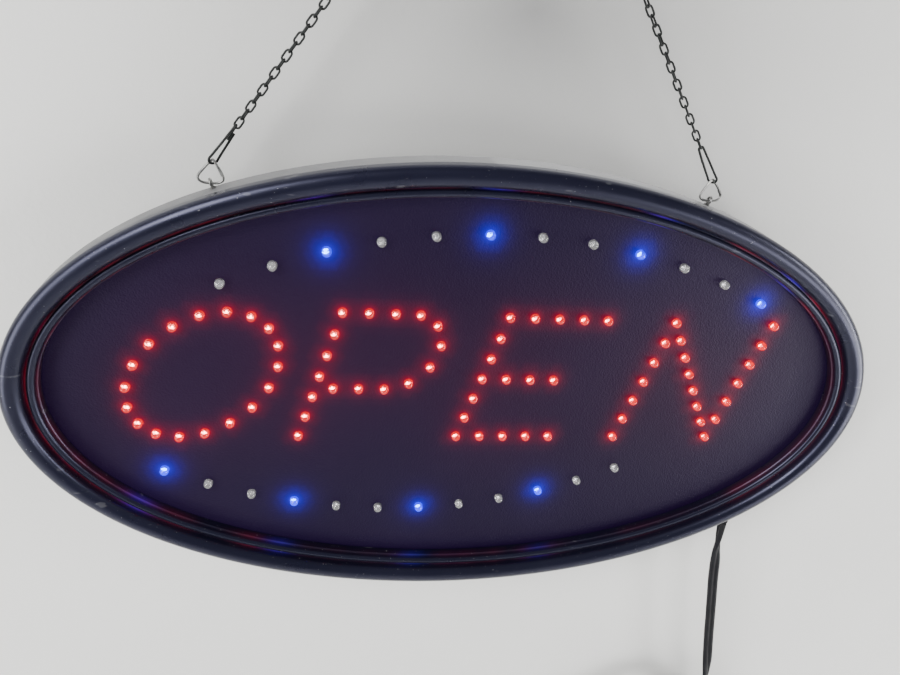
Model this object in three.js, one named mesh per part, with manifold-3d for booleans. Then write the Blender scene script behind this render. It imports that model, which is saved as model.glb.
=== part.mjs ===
// Oval lighted OPEN sign: an LED face in a black bezel on a pale rear housing, hung by a V of light chain
// from a ring that goes over a nail, with a flat twin mains lead.
// Millimetres. +X to the reader's right, +Y towards the wall, +Z up. The origin is where the ring's inner
// top rests on the nail.
import * as THREE from "three";
import { mergeVertices } from "three/addons/utils/BufferGeometryUtils.js";
import Module from "manifold-3d";

const wasm = await Module();
wasm.setup();

// ---- driving dimensions ----

// Where the oval's centre lies from the nail, and the face panel's front plane.
const SIGN_X = 9;
const SIGN_Y = -5.1;
const SIGN_Z = -312;

// The oval: half axes of the outline.
const HALF_WIDTH = 241.5;
const HALF_HEIGHT = 133.5;
const OVAL_STEPS = 48;

// Depths in the sign's own frame, from the panel's front plane, + towards the wall.
const BEZEL_FRONT = -13.5;
const BEZEL_BACK = -4.7;
const PANEL_THICK = 2;
const SHELL_BACK = 10;
const SHELL_WALL = 2.2;
const SHELL_PLATE = 2.5;
const GAP = 0.3;

// Lamps: 5 mm domed diodes in the panel.
const LAMP_RADIUS = 2.4;
const LAMP_FLANGE_RADIUS = 2.9;
const LAMP_FLANGE_THICK = 1;
const LAMP_TOP = -4.6;
const LAMP_SIDES = 6;
const LAMP_HOLE_RADIUS = 3.2;
const LEAD_WIDTH = 1.6;
const LEAD_THICK = 1;
const LEAD_SHORT = 1.4;

// The lamp layout: the letters lean by SLANT and sit on a centre a little left of and above the oval's.
const SLANT = 0.28;
const LETTER_MID = 10.9;
const LETTER_HALF = 38.8;
const STEM_LAMPS = 7;
const ROW_PITCH = 14;
const P_STEM = -83.9;
const E_STEM = 6.2;
const N_STEM = 103;
const N_WIDTH = 60.6;
const P_BOWL = { u: -46.4, z: 26.6, radius: 22, half: 23.2, from: 80, step: -34, count: 6 };
const O_RING = { x: -144.8, z: 9.6, radius: 37, half: 38.4, slant: 0.37, from: 110.6, count: 18 };
const BORDER_COUNT = 12;
const BORDER_TOP = { x: 13.8, z: 96.3, half: 1, radius: 350, step: 0.0793 };
const BORDER_BOTTOM = { x: -34.6, z: -80.6, half: -1, radius: 320, step: 0.0781 };

// Hanging wires.
const NAIL_RING_RADIUS = 5.8;
const NAIL_RING_WIRE = 0.8;
const LINK_WIRE = 0.6;
const TOP_LINK = { radius: 1.9, length: 5 };
const CONNECTOR = { radius: 1.8, length: 19, wire: 0.65, turn: 22 };
const CHAIN_RADIUS = 1.2;
const WIRE_SIDES = 6;
const EYE_RADIUS = 1.7;
const EYE_WIRE = 0.6;
const EYE_STAND = 2.6;
const EYE_LEFT_X = -136;
const EYE_RIGHT_X = 116;
const DROP_RING_WIRE = 0.55;
const DROP_RING_HEIGHT = 10.8;
const DROP_RING_LEAN = 1.2;

// Screws that hold the shell to the bezel's posts.
const SCREW_COUNT = 8;
const SCREW_INSET = 9;
const POST_RADIUS = 3;
const SCREW = { shank: 1.3, head: 2.8, headThick: 1.2, length: 7.5 };

// Power box on the back of the shell.
const BOX = { x: -116, z: -2, width: 124, height: 74, depth: 14, wall: 2, corner: 8 };

const WIRE_HOLE = { x: BOX.x + 24, z: BOX.z + 30.5, width: 34, height: 8.6 };

// Rocker switches in the shell's lower wall.
const SWITCH = { width: 11, depth: 4.4, inside: 11, rim: 14, rimDepth: 6, rimThick: 1, stand: 0.4 };
const POCKET = { width: 10.2, depth: 3.6, floor: 4 };
const ROCKER = { half: 4.3, depth: 3, foot: 2.6, tip: 0.9, dip: 0.1, pivot: 1, tilt: 9 };
const SWITCH_Y = 4.7;
const POWER_SWITCH_X = 30;
const MODE_SWITCH_X = -10;

// Mains lead: a flat twin. Its route is in the sign's frame, from the strain relief to the coil, and on
// from the coil to the plug.
const CORD_WIDTH = 7;
const CORD_THICK = 3.6;
const CORD_SIDES = 8;
const CORD_Y = 4.7;
const RELIEF = { x: 190.6, top: -76, wallZ: -84, foot: -102, neck: 2.3, thick: 3.6, thin: 3.1 };
const CORD_ROUTE = [
  [190.6, -102.3],
  [191, -109],
  [191.7, -115.5],
  [192.5, -122.4],
  [193.7, -130],
  [195.3, -137.4],
  [197.6, -149],
  [200.1, -160.8],
  [203, -173],
  [206, -186],
  [209.2, -200],
  [212.4, -214],
  [215.5, -227],
  [218.7, -240],
  [221.9, -253],
  [225.2, -266],
  [228.4, -279],
];
const COIL = { x: 190.4, z: -314.7, radius: 40.5, width: 14.6, depth: 14.8, steps: 32 };
const TAIL = { x: 236.3, from: -341, to: -366 };
const TIE = { angle: -8, wide: 5, thick: 1.2 };
const PLUG = { width: 24, depth: 15, neck: 12, height: 30, bladeGap: 12.7 };
const BLADE = { thick: 1.5, wide: 6.3, long: 16 };

const materials = {
  bezel: { color: 0x1d1c27, roughness: 0.38, metalness: 0 },
  panel: { color: 0x26242f, roughness: 0.62, metalness: 0 },
  housing: { color: 0xa4a4a6, roughness: 0.55, metalness: 0 },
  lamp: { color: 0xd8dbe2, roughness: 0.1, metalness: 0 },
  steel: { color: 0x9a9a98, roughness: 0.35, metalness: 1 },
  blackWire: { color: 0x1c1d1f, roughness: 0.4, metalness: 0.7 },
  board: { color: 0x2d5a34, roughness: 0.5, metalness: 0 },
  dark: { color: 0x17161c, roughness: 0.5, metalness: 0 },
  brass: { color: 0xb08d45, roughness: 0.35, metalness: 1 },
  copper: { color: 0x9b5a34, roughness: 0.45, metalness: 1 },
  cordBlack: { color: 0x141416, roughness: 0.55, metalness: 0 },
};

// ---- solids ----

function toSolid(geometry) {
  const plain = new THREE.BufferGeometry();
  plain.setAttribute("position", geometry.getAttribute("position").clone());
  if (geometry.index) plain.setIndex(geometry.index.clone());
  const merged = mergeVertices(plain, 1e-4);
  const vertProperties = merged.attributes.position.array;
  const triVerts = new Uint32Array(merged.index.array);
  const made = new wasm.Manifold(new wasm.Mesh({ numProp: 3, vertProperties, triVerts }));
  if (made.volume() >= 0) return made;
  for (let i = 0; i < triVerts.length; i += 3) {
    [triVerts[i + 1], triVerts[i + 2]] = [triVerts[i + 2], triVerts[i + 1]];
  }
  return new wasm.Manifold(new wasm.Mesh({ numProp: 3, vertProperties, triVerts }));
}

function toGeometry(solid) {
  const mesh = solid.getMesh();
  const geometry = new THREE.BufferGeometry();
  geometry.setAttribute("position", new THREE.BufferAttribute(mesh.vertProperties, 3));
  geometry.setIndex(new THREE.BufferAttribute(mesh.triVerts, 1));
  return geometry;
}

function joined(solids) {
  return solids.reduce((whole, piece) => whole.add(piece));
}

function cut(solid, cutters) {
  return cutters.reduce((whole, cutter) => whole.subtract(cutter), solid);
}

const root = new THREE.Group();
const sign = new THREE.Group();
sign.position.set(SIGN_X, SIGN_Y, SIGN_Z);
root.add(sign);

function add(parent, name, solid, finish) {
  const geometry = toGeometry(solid);
  geometry.computeVertexNormals();
  const mesh = new THREE.Mesh(geometry, new THREE.MeshStandardMaterial(materials[finish]));
  mesh.name = name;
  parent.add(mesh);
}

function block(width, depth, height, x, y, z) {
  return toSolid(new THREE.BoxGeometry(width, depth, height).translate(x, y, z));
}

// A round bar between two points.
function bar(from, to, radius, sides, endRadius = radius) {
  const way = new THREE.Vector3().subVectors(to, from);
  const geometry = new THREE.CylinderGeometry(endRadius, radius, way.length(), sides);
  const turn = new THREE.Quaternion().setFromUnitVectors(
    new THREE.Vector3(0, 1, 0),
    way.clone().normalize(),
  );
  const middle = new THREE.Vector3().addVectors(from, to).multiplyScalar(0.5);
  geometry.applyMatrix4(new THREE.Matrix4().compose(middle, turn, new THREE.Vector3(1, 1, 1)));
  return toSolid(geometry);
}

function circleShape(radius, sides) {
  const shape = new THREE.Shape();
  for (let i = 0; i < sides; i++) {
    const angle = (2 * Math.PI * i) / sides;
    shape[i ? "lineTo" : "moveTo"](radius * Math.cos(angle), radius * Math.sin(angle));
  }
  shape.closePath();
  return shape;
}

// A wire along a curve.
function wire(curve, radius, steps, sides = WIRE_SIDES) {
  const options = { extrudePath: curve, steps, bevelEnabled: false, curveSegments: sides };
  return toSolid(new THREE.ExtrudeGeometry(circleShape(radius, sides), options));
}

// A closed wire loop: a torus about its own axis, pulled into the closed outline that outline(angle) gives.
function wireLoop(outline, radius, steps, placement) {
  const flat = new THREE.TorusGeometry(1, radius, WIRE_SIDES, steps);
  const at = flat.attributes.position;
  for (let i = 0; i < at.count; i++) {
    const angle = Math.atan2(at.getY(i), at.getX(i));
    const out = Math.hypot(at.getX(i), at.getY(i)) - 1;
    const here = outline(angle);
    const near = outline(angle + 1e-3);
    const along = near.clone().sub(here).normalize();
    at.setXY(i, here.x + along.y * out, here.y - along.x * out);
  }
  return toSolid(flat.applyMatrix4(placement));
}

// A stadium outline of two half turns of one radius, length apart centre to centre, along y.
function stadium(radius, length) {
  return (angle) => {
    const side = Math.cos(angle);
    const end = Math.sin(angle);
    const shift = (length / 2) * Math.tanh(6 * end);
    return new THREE.Vector2(radius * side, radius * end + shift);
  };
}

// Matrix whose x, y, z axes are given, at a place.
function placed(xAxis, yAxis, at) {
  const zAxis = new THREE.Vector3().crossVectors(xAxis, yAxis);
  return new THREE.Matrix4().makeBasis(xAxis, yAxis, zAxis).setPosition(at);
}

// ---- the oval ----

const LATHE_RADIUS = 200;

// Profile points are [inset from the outline, depth]; an inset of null is the centre.
function ovalBody(profile) {
  const points = profile.map(
    ([inset, depth]) => new THREE.Vector2(inset === null ? 0 : LATHE_RADIUS - inset, depth),
  );
  const lathe = new THREE.LatheGeometry(points, OVAL_STEPS);
  const at = lathe.attributes.position;
  for (let i = 0; i < at.count; i++) {
    const radius = Math.hypot(at.getX(i), at.getZ(i));
    if (radius < 1) {
      at.setX(i, 0);
      at.setZ(i, 0);
      continue;
    }
    const inset = LATHE_RADIUS - radius;
    at.setX(i, ((HALF_WIDTH - inset) * at.getX(i)) / radius);
    at.setZ(i, ((HALF_HEIGHT - inset) * at.getZ(i)) / radius);
  }
  return toSolid(lathe);
}

function onOval(angle, inset, depth = 0) {
  return new THREE.Vector3(
    (HALF_WIDTH - inset) * Math.cos(angle),
    depth,
    (HALF_HEIGHT - inset) * Math.sin(angle),
  );
}

function ovalNormal(point) {
  const normal = new THREE.Vector3(point.x / HALF_WIDTH ** 2, 0, point.z / HALF_HEIGHT ** 2);
  return normal.normalize();
}

// The point of the outline at x, on the upper (1) or lower (-1) half.
function outlineAt(x, half, depth) {
  return new THREE.Vector3(x, depth, half * HALF_HEIGHT * Math.sqrt(1 - (x / HALF_WIDTH) ** 2));
}

const screwPlaces = Array.from({ length: SCREW_COUNT }, (_, i) =>
  onOval(((i + 0.5) * 2 * Math.PI) / SCREW_COUNT, SCREW_INSET),
);

// ---- lamp layout ----

function slanted(u, z) {
  return { x: u + SLANT * (z - LETTER_MID), z };
}

function stem(u) {
  return Array.from({ length: STEM_LAMPS }, (_, i) =>
    slanted(u, LETTER_MID + LETTER_HALF * (1 - (2 * i) / (STEM_LAMPS - 1))),
  );
}

function row(u, z, count) {
  return Array.from({ length: count }, (_, i) => slanted(u + ROW_PITCH * (i + 1), z));
}

function letterO() {
  const lamps = Array.from({ length: O_RING.count }, (_, i) => {
    const angle = THREE.MathUtils.degToRad(O_RING.from - (360 / O_RING.count) * i);
    const rise = O_RING.half * Math.sin(angle);
    return { x: O_RING.x + O_RING.radius * Math.cos(angle) + O_RING.slant * rise, z: O_RING.z + rise };
  });
  return [lamps];
}

function letterP() {
  const down = stem(P_STEM);
  const bowl = Array.from({ length: P_BOWL.count }, (_, i) => {
    const angle = THREE.MathUtils.degToRad(P_BOWL.from + P_BOWL.step * i);
    return slanted(P_BOWL.u + P_BOWL.radius * Math.cos(angle), P_BOWL.z + P_BOWL.half * Math.sin(angle));
  });
  const foot = [1, 2].map((i) => slanted(P_BOWL.u - ROW_PITCH * i, P_BOWL.z - P_BOWL.half));
  return [down, [down[0], ...row(P_STEM, LETTER_MID + LETTER_HALF, 2), ...bowl, ...foot]];
}

function letterE() {
  const down = stem(E_STEM);
  const middle = down[(STEM_LAMPS - 1) / 2];
  const last = down[STEM_LAMPS - 1];
  return [
    down,
    [down[0], ...row(E_STEM, LETTER_MID + LETTER_HALF, 4)],
    [middle, ...row(E_STEM, LETTER_MID, 3)],
    [last, ...row(E_STEM, LETTER_MID - LETTER_HALF, 4)],
  ];
}

function letterN() {
  const left = stem(N_STEM);
  const right = stem(N_STEM + N_WIDTH);
  const top = left[0];
  const foot = right[STEM_LAMPS - 1];
  const across = Array.from({ length: 6 }, (_, i) => ({
    x: top.x + ((foot.x - top.x) * (i + 1)) / 7,
    z: top.z + ((foot.z - top.z) * (i + 1)) / 7,
  }));
  return [left, [top, ...across, foot], right];
}

function borderArc({ x, z, half, radius, step }) {
  const middle = (BORDER_COUNT - 1) / 2;
  return [
    Array.from({ length: BORDER_COUNT }, (_, i) => {
      const angle = (i - middle) * step;
      return {
        x: x + radius * Math.sin(angle),
        z: z - half * radius * (1 - Math.cos(angle)),
      };
    }),
  ];
}

const lampStrings = {
  leds_letter_o: letterO(),
  leds_letter_p: letterP(),
  leds_letter_e: letterE(),
  leds_letter_n: letterN(),
  leds_border_top: borderArc(BORDER_TOP),
  leds_border_bottom: borderArc(BORDER_BOTTOM),
};

// Every lamp of a string once, although its runs share lamps where they meet.
function lampsOf(runs) {
  const seen = new Map();
  for (const lamp of runs.flat()) seen.set(lamp.x.toFixed(2) + "," + lamp.z.toFixed(2), lamp);
  return [...seen.values()];
}

// ---- shells ----

function frontFrame() {
  const rounded = [];
  const beadSteps = 4;
  for (let i = 0; i <= beadSteps; i++) {
    const angle = Math.PI * (i / beadSteps);
    rounded.push([5.5 - 5.5 * Math.cos(angle), BEZEL_FRONT + 4.5 - 4.5 * Math.sin(angle)]);
  }
  const ring = ovalBody([
    [0, BEZEL_BACK],
    ...rounded,
    [11.6, -6.6],
    [12.6, -8.2],
    [14.6, -8.2],
    [15.6, -6],
    [17.4, -4.6],
    [17.4, -GAP],
    [2.6, -GAP],
    [2.6, BEZEL_BACK],
    [0, BEZEL_BACK],
  ]);
  const posts = screwPlaces.map((p) =>
    bar(p.clone().setY(-1), p.clone().setY(SHELL_BACK - SHELL_PLATE - GAP), POST_RADIUS, 10),
  );
  const pilots = screwPlaces.map((p) => bar(p.clone().setY(1), p.clone().setY(9), SCREW.shank + GAP, 8));
  return cut(joined([ring, ...posts]), pilots);
}

function facePanel() {
  const outline = new THREE.Shape();
  outline.absellipse(0, 0, HALF_WIDTH - 2.6, HALF_HEIGHT - 2.6, 0, 2 * Math.PI);
  const holes = Object.values(lampStrings).flatMap(lampsOf);
  for (const hole of holes) {
    const path = new THREE.Path();
    for (let i = 0; i <= LAMP_SIDES; i++) {
      const angle = (2 * Math.PI * i) / LAMP_SIDES;
      const x = hole.x + LAMP_HOLE_RADIUS * Math.cos(angle);
      const z = hole.z + LAMP_HOLE_RADIUS * Math.sin(angle);
      path[i ? "lineTo" : "moveTo"](x, z);
    }
    outline.holes.push(path);
  }
  const options = { depth: PANEL_THICK, bevelEnabled: false, curveSegments: OVAL_STEPS / 2 };
  const sheet = new THREE.ExtrudeGeometry(outline, options).rotateX(Math.PI / 2);
  const panel = toSolid(sheet.translate(0, PANEL_THICK, 0));
  const notches = screwPlaces.map((p) =>
    bar(p.clone().setY(-1), p.clone().setY(PANEL_THICK + 1), POST_RADIUS + 0.4, 10),
  );
  return cut(panel, notches);
}

function eyePlace(x) {
  const wall = outlineAt(x, 1, -SIGN_Y);
  return { wall, normal: ovalNormal(wall) };
}

function switchPlace(x) {
  const wall = outlineAt(x, -1, SWITCH_Y);
  return { wall, normal: ovalNormal(wall) };
}

const switchPlaces = { power: switchPlace(POWER_SWITCH_X), mode: switchPlace(MODE_SWITCH_X) };

// Switch solids are drawn with x along the shell's wall, y in depth and z out of the shell.
function onSwitch(place, geometry) {
  const across = new THREE.Vector3(place.normal.z, 0, -place.normal.x);
  return toSolid(geometry.applyMatrix4(placed(across, new THREE.Vector3(0, 1, 0), place.wall)));
}

function switchBlock(place, width, depth, low, high) {
  const geometry = new THREE.BoxGeometry(width, depth, high - low);
  return onSwitch(place, geometry.translate(0, 0, (low + high) / 2));
}

function rearShell() {
  const shell = ovalBody([
    [null, SHELL_BACK],
    [2.6, SHELL_BACK],
    [0.9, SHELL_BACK - 0.8],
    [0.1, SHELL_BACK - 2.4],
    [0.1, BEZEL_BACK + GAP],
    [SHELL_WALL, BEZEL_BACK + GAP],
    [SHELL_WALL, SHELL_BACK - SHELL_PLATE],
    [null, SHELL_BACK - SHELL_PLATE],
  ]);
  const eyeHoles = [EYE_LEFT_X, EYE_RIGHT_X].map((x) => {
    const { wall, normal } = eyePlace(x);
    return bar(wall.clone().addScaledVector(normal, -6), wall.clone().add(normal), EYE_WIRE + 0.6, 8);
  });
  const screwHoles = screwPlaces.flatMap((p) => [
    bar(p.clone().setY(SHELL_BACK - 4), p.clone().setY(SHELL_BACK + 1), SCREW.shank + GAP, 8),
    bar(p.clone().setY(SHELL_BACK - 1.8), p.clone().setY(SHELL_BACK + 1), SCREW.head + GAP, 10),
  ]);
  const switchHoles = Object.values(switchPlaces).map((place) =>
    switchBlock(place, SWITCH.width + 2 * GAP, SWITCH.depth + 2 * GAP, -6, 2),
  );
  const boxScrewHoles = boxScrewPlaces.map((p) =>
    bar(p.clone().setY(SHELL_BACK - 4), p.clone().setY(SHELL_BACK + 1), SCREW.shank + GAP, 8),
  );
  const cordHole = bar(down(RELIEF.top + 2), down(RELIEF.wallZ - 4), RELIEF.neck + GAP, 10);
  const wireHole = block(WIRE_HOLE.width, 8, WIRE_HOLE.height, WIRE_HOLE.x, SHELL_BACK, WIRE_HOLE.z);
  return cut(shell, [...eyeHoles, ...screwHoles, ...switchHoles, ...boxScrewHoles, cordHole, wireHole]);
}

// ---- lamps ----

function lamp(place) {
  const back = PANEL_THICK + GAP + LAMP_FLANGE_THICK;
  const profile = [
    [0, back],
    [LAMP_FLANGE_RADIUS, back],
    [LAMP_FLANGE_RADIUS, PANEL_THICK + GAP],
    [LAMP_RADIUS, PANEL_THICK + GAP],
    [LAMP_RADIUS, LAMP_TOP + 0.6 * LAMP_RADIUS],
    [0, LAMP_TOP],
  ].map(([radius, depth]) => new THREE.Vector2(radius, depth));
  return toSolid(new THREE.LatheGeometry(profile, LAMP_SIDES).translate(place.x, 0, place.z));
}

// A lead runs from one lamp's flange to the next one's and stops short of both lamps' centres.
function leadBetween(a, b) {
  const length = Math.hypot(b.x - a.x, b.z - a.z) - 2 * LEAD_SHORT;
  const depth = PANEL_THICK + GAP + LAMP_FLANGE_THICK - 0.2 + LEAD_THICK / 2;
  const strip = new THREE.BoxGeometry(length, LEAD_THICK, LEAD_WIDTH);
  strip.rotateY(-Math.atan2(b.z - a.z, b.x - a.x));
  return toSolid(strip.translate((a.x + b.x) / 2, depth, (a.z + b.z) / 2));
}

function lampString(runs) {
  const leads = runs.flatMap((run) => run.slice(1).map((lampPlace, i) => leadBetween(run[i], lampPlace)));
  return joined([...lampsOf(runs).map(lamp), ...leads]);
}

// ---- screws ----

function screw(place, back) {
  const profile = [
    [0, back],
    [SCREW.head * 0.7, back],
    [SCREW.head, back - 0.5],
    [SCREW.head, back - SCREW.headThick],
    [SCREW.shank, back - SCREW.headThick],
    [SCREW.shank, back - SCREW.length],
    [0, back - SCREW.length - 0.6],
  ].map(([radius, depth]) => new THREE.Vector2(radius, depth));
  return toSolid(new THREE.LatheGeometry(profile, 8).translate(place.x, 0, place.z));
}

// ---- power box ----

function roundedRect(width, height, corner) {
  const x = width / 2 - corner;
  const y = height / 2 - corner;
  const shape = new THREE.Shape();
  shape.absarc(x, y, corner, 0, Math.PI / 2);
  shape.absarc(-x, y, corner, Math.PI / 2, Math.PI);
  shape.absarc(-x, -y, corner, Math.PI, 1.5 * Math.PI);
  shape.absarc(x, -y, corner, 1.5 * Math.PI, 2 * Math.PI);
  shape.closePath();
  return shape;
}

function slab(shape, depth, x, fromY, z) {
  const options = { depth, bevelEnabled: false, curveSegments: 4 };
  const geometry = new THREE.ExtrudeGeometry(shape, options).rotateX(Math.PI / 2);
  return toSolid(geometry.translate(x, fromY + depth, z));
}

const BOX_FRONT = SHELL_BACK + GAP;
const boxScrewPlaces = [
  [-1, -1],
  [-1, 1],
  [1, -1],
  [1, 1],
].map(([sx, sz]) => new THREE.Vector3(BOX.x + sx * (BOX.width / 2 - 6), 0, BOX.z + sz * (BOX.height / 2 - 6)));

function powerBox() {
  const outer = slab(roundedRect(BOX.width, BOX.height, BOX.corner), BOX.depth, BOX.x, BOX_FRONT, BOX.z);
  const inner = slab(
    roundedRect(BOX.width - 2 * BOX.wall, BOX.height - 2 * BOX.wall, BOX.corner - BOX.wall),
    BOX.depth,
    BOX.x,
    BOX_FRONT - BOX.wall,
    BOX.z,
  );
  const posts = boxScrewPlaces.map((p) =>
    bar(p.clone().setY(BOX_FRONT), p.clone().setY(BOX_FRONT + BOX.depth - 1), 4, 10),
  );
  const back = BOX_FRONT + BOX.depth;
  const bores = boxScrewPlaces.flatMap((p) => [
    bar(p.clone().setY(BOX_FRONT - 1), p.clone().setY(back + 1), SCREW.shank + GAP, 8),
    bar(p.clone().setY(BOX_FRONT + 4), p.clone().setY(back + 1), SCREW.head + GAP, 10),
  ]);
  return cut(joined([cut(outer, [inner]), ...posts]), bores);
}

// ---- hanging wires ----

const nailRingCentre = new THREE.Vector3(0, 0, NAIL_RING_WIRE - NAIL_RING_RADIUS);
const wallSide = new THREE.Vector3(0, 1, 0);

function hangingSide(eyeX) {
  const { wall, normal } = eyePlace(eyeX);
  const eye = wall.clone().addScaledVector(normal, EYE_STAND).add(sign.position);
  const lean = Math.sign(-eye.x) * DROP_RING_LEAN;
  const apex = eye.clone().add(new THREE.Vector3(lean, 0, DROP_RING_HEIGHT));
  const up = nailRingCentre.clone().sub(apex).normalize();
  return { wall, normal, eye, lean, apex, up };
}

function screwEye(side) {
  const local = side.eye.clone().sub(sign.position);
  const ring = new THREE.TorusGeometry(EYE_RADIUS, EYE_WIRE, WIRE_SIDES, 14).rotateY(Math.PI / 2);
  const shankTop = local.clone().addScaledVector(side.normal, -EYE_RADIUS);
  const shankEnd = local.clone().addScaledVector(side.normal, -EYE_STAND - 6);
  return joined([toSolid(ring.translate(local.x, local.y, local.z)), bar(shankTop, shankEnd, EYE_WIRE, 8)]);
}

function dropRing(side) {
  const points = [
    [0, 0],
    [3.4, 0.9],
    [6, 4.2],
    [4.4 + side.lean * 0.6, 8.2],
    [side.lean, DROP_RING_HEIGHT],
    [-4.4 + side.lean * 0.6, 8.2],
    [-6, 4.2],
    [-3.4, 0.9],
  ].map(([x, z]) => new THREE.Vector3(x, z, 0));
  const curve = new THREE.CatmullRomCurve3(points, true, "centripetal");
  const outline = (angle) => {
    const turns = angle / (2 * Math.PI) + 0.25;
    const point = curve.getPoint(((turns % 1) + 1) % 1);
    return new THREE.Vector2(point.x, point.y);
  };
  const xAxis = new THREE.Vector3(1, 0, 0);
  const zAxis = new THREE.Vector3(0, 0, 1);
  return wireLoop(outline, DROP_RING_WIRE, 20, placed(xAxis, zAxis, side.eye));
}

function link(side, centre, shape, wireRadius, turn) {
  const across = wallSide.clone().applyAxisAngle(side.up, THREE.MathUtils.degToRad(turn));
  const outline = stadium(shape.radius, shape.length);
  return wireLoop(outline, wireRadius, 16, placed(across, side.up, centre));
}

function hangingWires(label, side) {
  const { apex, up } = side;
  const along = (from, distance) => from.clone().addScaledVector(up, distance);
  const linkFoot = nailRingCentre.clone().addScaledVector(up, -NAIL_RING_RADIUS - TOP_LINK.length);
  const connectorEnd = CONNECTOR.length + CONNECTOR.radius + CONNECTOR.wire;
  const chainFrom = along(apex, connectorEnd + 0.4);
  const chainTo = along(linkFoot, -TOP_LINK.radius - LINK_WIRE - 0.4);
  const linkMiddle = along(linkFoot, TOP_LINK.length / 2);
  const connectorMiddle = along(apex, CONNECTOR.length / 2);
  const turn = Math.sign(apex.x) * CONNECTOR.turn;
  add(root, "top_link_" + label, link(side, linkMiddle, TOP_LINK, LINK_WIRE, 0), "blackWire");
  add(root, "chain_" + label, bar(chainFrom, chainTo, CHAIN_RADIUS, WIRE_SIDES), "blackWire");
  add(root, "connector_" + label, link(side, connectorMiddle, CONNECTOR, CONNECTOR.wire, turn), "blackWire");
  add(root, "drop_ring_" + label, dropRing(side), "steel");
  add(sign, "screw_eye_" + label, screwEye(side), "steel");
}

// ---- parts inside the power box ----

const BOARD_BACK = BOX_FRONT + 0.6 + 1.6;
const PART_FRONT = BOARD_BACK + GAP;

// A block on the control board, at a place from the box's centre.
function onBoard(width, depth, height, dx, dz, front = PART_FRONT) {
  return block(width, depth, height, BOX.x + dx, front + depth / 2, BOX.z + dz);
}

function canOnBoard(radius, length, dx, dz) {
  const from = new THREE.Vector3(BOX.x + dx - length / 2, PART_FRONT + radius, BOX.z + dz);
  const to = from.clone().setX(BOX.x + dx + length / 2);
  return bar(from, to, radius, 10);
}

const CORE = { x: -26, width: 50, height: 44, thick: 8, limb: 16, window: 8.6, windowHeight: 28 };
const WINDING = { thick: 9.2, wall: 8, height: 27 };
const coreFront = PART_FRONT + (WINDING.thick - CORE.thick) / 2;

function transformerCore() {
  const whole = onBoard(CORE.width, CORE.thick, CORE.height, CORE.x, 0, coreFront);
  const windows = [-1, 1].map((side) => {
    const dx = CORE.x + (side * (CORE.limb + CORE.window)) / 2;
    return onBoard(CORE.window, CORE.thick + 2, CORE.windowHeight, dx, 0, coreFront - 1);
  });
  return cut(whole, windows);
}

function transformerWinding() {
  const width = CORE.limb + 2 * WINDING.wall;
  const whole = onBoard(width, WINDING.thick, WINDING.height, CORE.x, 0);
  const bore = onBoard(CORE.limb + 2 * GAP, CORE.thick + 2 * GAP, 30, CORE.x, 0, coreFront - GAP);
  return cut(whole, [bore]);
}

function innerWire(points, radius) {
  const curve = new THREE.CatmullRomCurve3(points.map(([x, y, z]) => new THREE.Vector3(x, y, z)));
  return wire(curve, radius, 4 * (points.length - 1));
}

// Wires leave the terminal block, turn down through the wire hole and run on between shell and panel.
const TERMINALS = { x: 28, z: 18, width: 20, thick: 8, height: 8 };

function fromTerminal(x, onward) {
  const top = BOX.z + TERMINALS.z + TERMINALS.height / 2 + GAP;
  const rise = [
    [x, PART_FRONT + 2.7, top],
    [x, PART_FRONT + 1.8, WIRE_HOLE.z - 2],
    [x, SHELL_BACK - 1, WIRE_HOLE.z + 0.7],
  ];
  return rise.concat(onward);
}

const harnessRoute = fromTerminal(WIRE_HOLE.x + 10, [
  [WIRE_HOLE.x + 13, 5.9, 26],
  [-50, 5.9, 26],
  [94, 5.9, 22],
]);
const switchRoute = fromTerminal(WIRE_HOLE.x + 4, [
  [WIRE_HOLE.x + 6, 5.9, 26],
  [-74, 5.9, -2],
  [-46, 5.9, -50],
  [6, 5.6, -103],
  [26, 5.2, -119],
]);
const modeRoute = fromTerminal(WIRE_HOLE.x - 2, [
  [WIRE_HOLE.x - 1, 5.9, 26],
  [-86, 5.9, -2],
  [-62, 5.9, -50],
  [-26, 5.6, -103],
  [-14, 5.2, -119],
]);
const mainsRoute = [
  [RELIEF.x, SWITCH_Y, RELIEF.top + 1.5],
  [182, 5.4, -72],
  [150, 5.6, -86],
  [96, 5.6, -104],
  [54, 5.6, -110],
  [34, 5.2, -119],
];

// ---- switches ----

function switchBody(place) {
  const rimTop = SWITCH.stand + SWITCH.rimThick;
  const rim = switchBlock(place, SWITCH.rim, SWITCH.rimDepth, SWITCH.stand, rimTop);
  const body = switchBlock(place, SWITCH.width, SWITCH.depth, -SWITCH.inside, SWITCH.stand + 0.1);
  const pocket = switchBlock(place, POCKET.width, POCKET.depth, -POCKET.floor, rimTop + 1);
  return cut(rim.add(body), [pocket]);
}

function rocker(place) {
  const shape = new THREE.Shape();
  shape.moveTo(-ROCKER.half, -ROCKER.foot + ROCKER.pivot);
  shape.lineTo(ROCKER.half, -ROCKER.foot + ROCKER.pivot);
  shape.lineTo(ROCKER.half, ROCKER.tip + ROCKER.pivot);
  shape.lineTo(0, ROCKER.dip + ROCKER.pivot);
  shape.lineTo(-ROCKER.half, ROCKER.tip + ROCKER.pivot);
  shape.closePath();
  const geometry = new THREE.ExtrudeGeometry(shape, { depth: ROCKER.depth, bevelEnabled: false });
  geometry.translate(0, 0, -ROCKER.depth / 2).rotateX(Math.PI / 2);
  geometry.rotateY(THREE.MathUtils.degToRad(ROCKER.tilt)).translate(0, 0, -ROCKER.pivot);
  return onSwitch(place, geometry);
}

// ---- mains lead ----

// A point of the lead's plane straight above or below the strain relief.
function down(z) {
  return new THREE.Vector3(RELIEF.x, CORD_Y, z);
}

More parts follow.
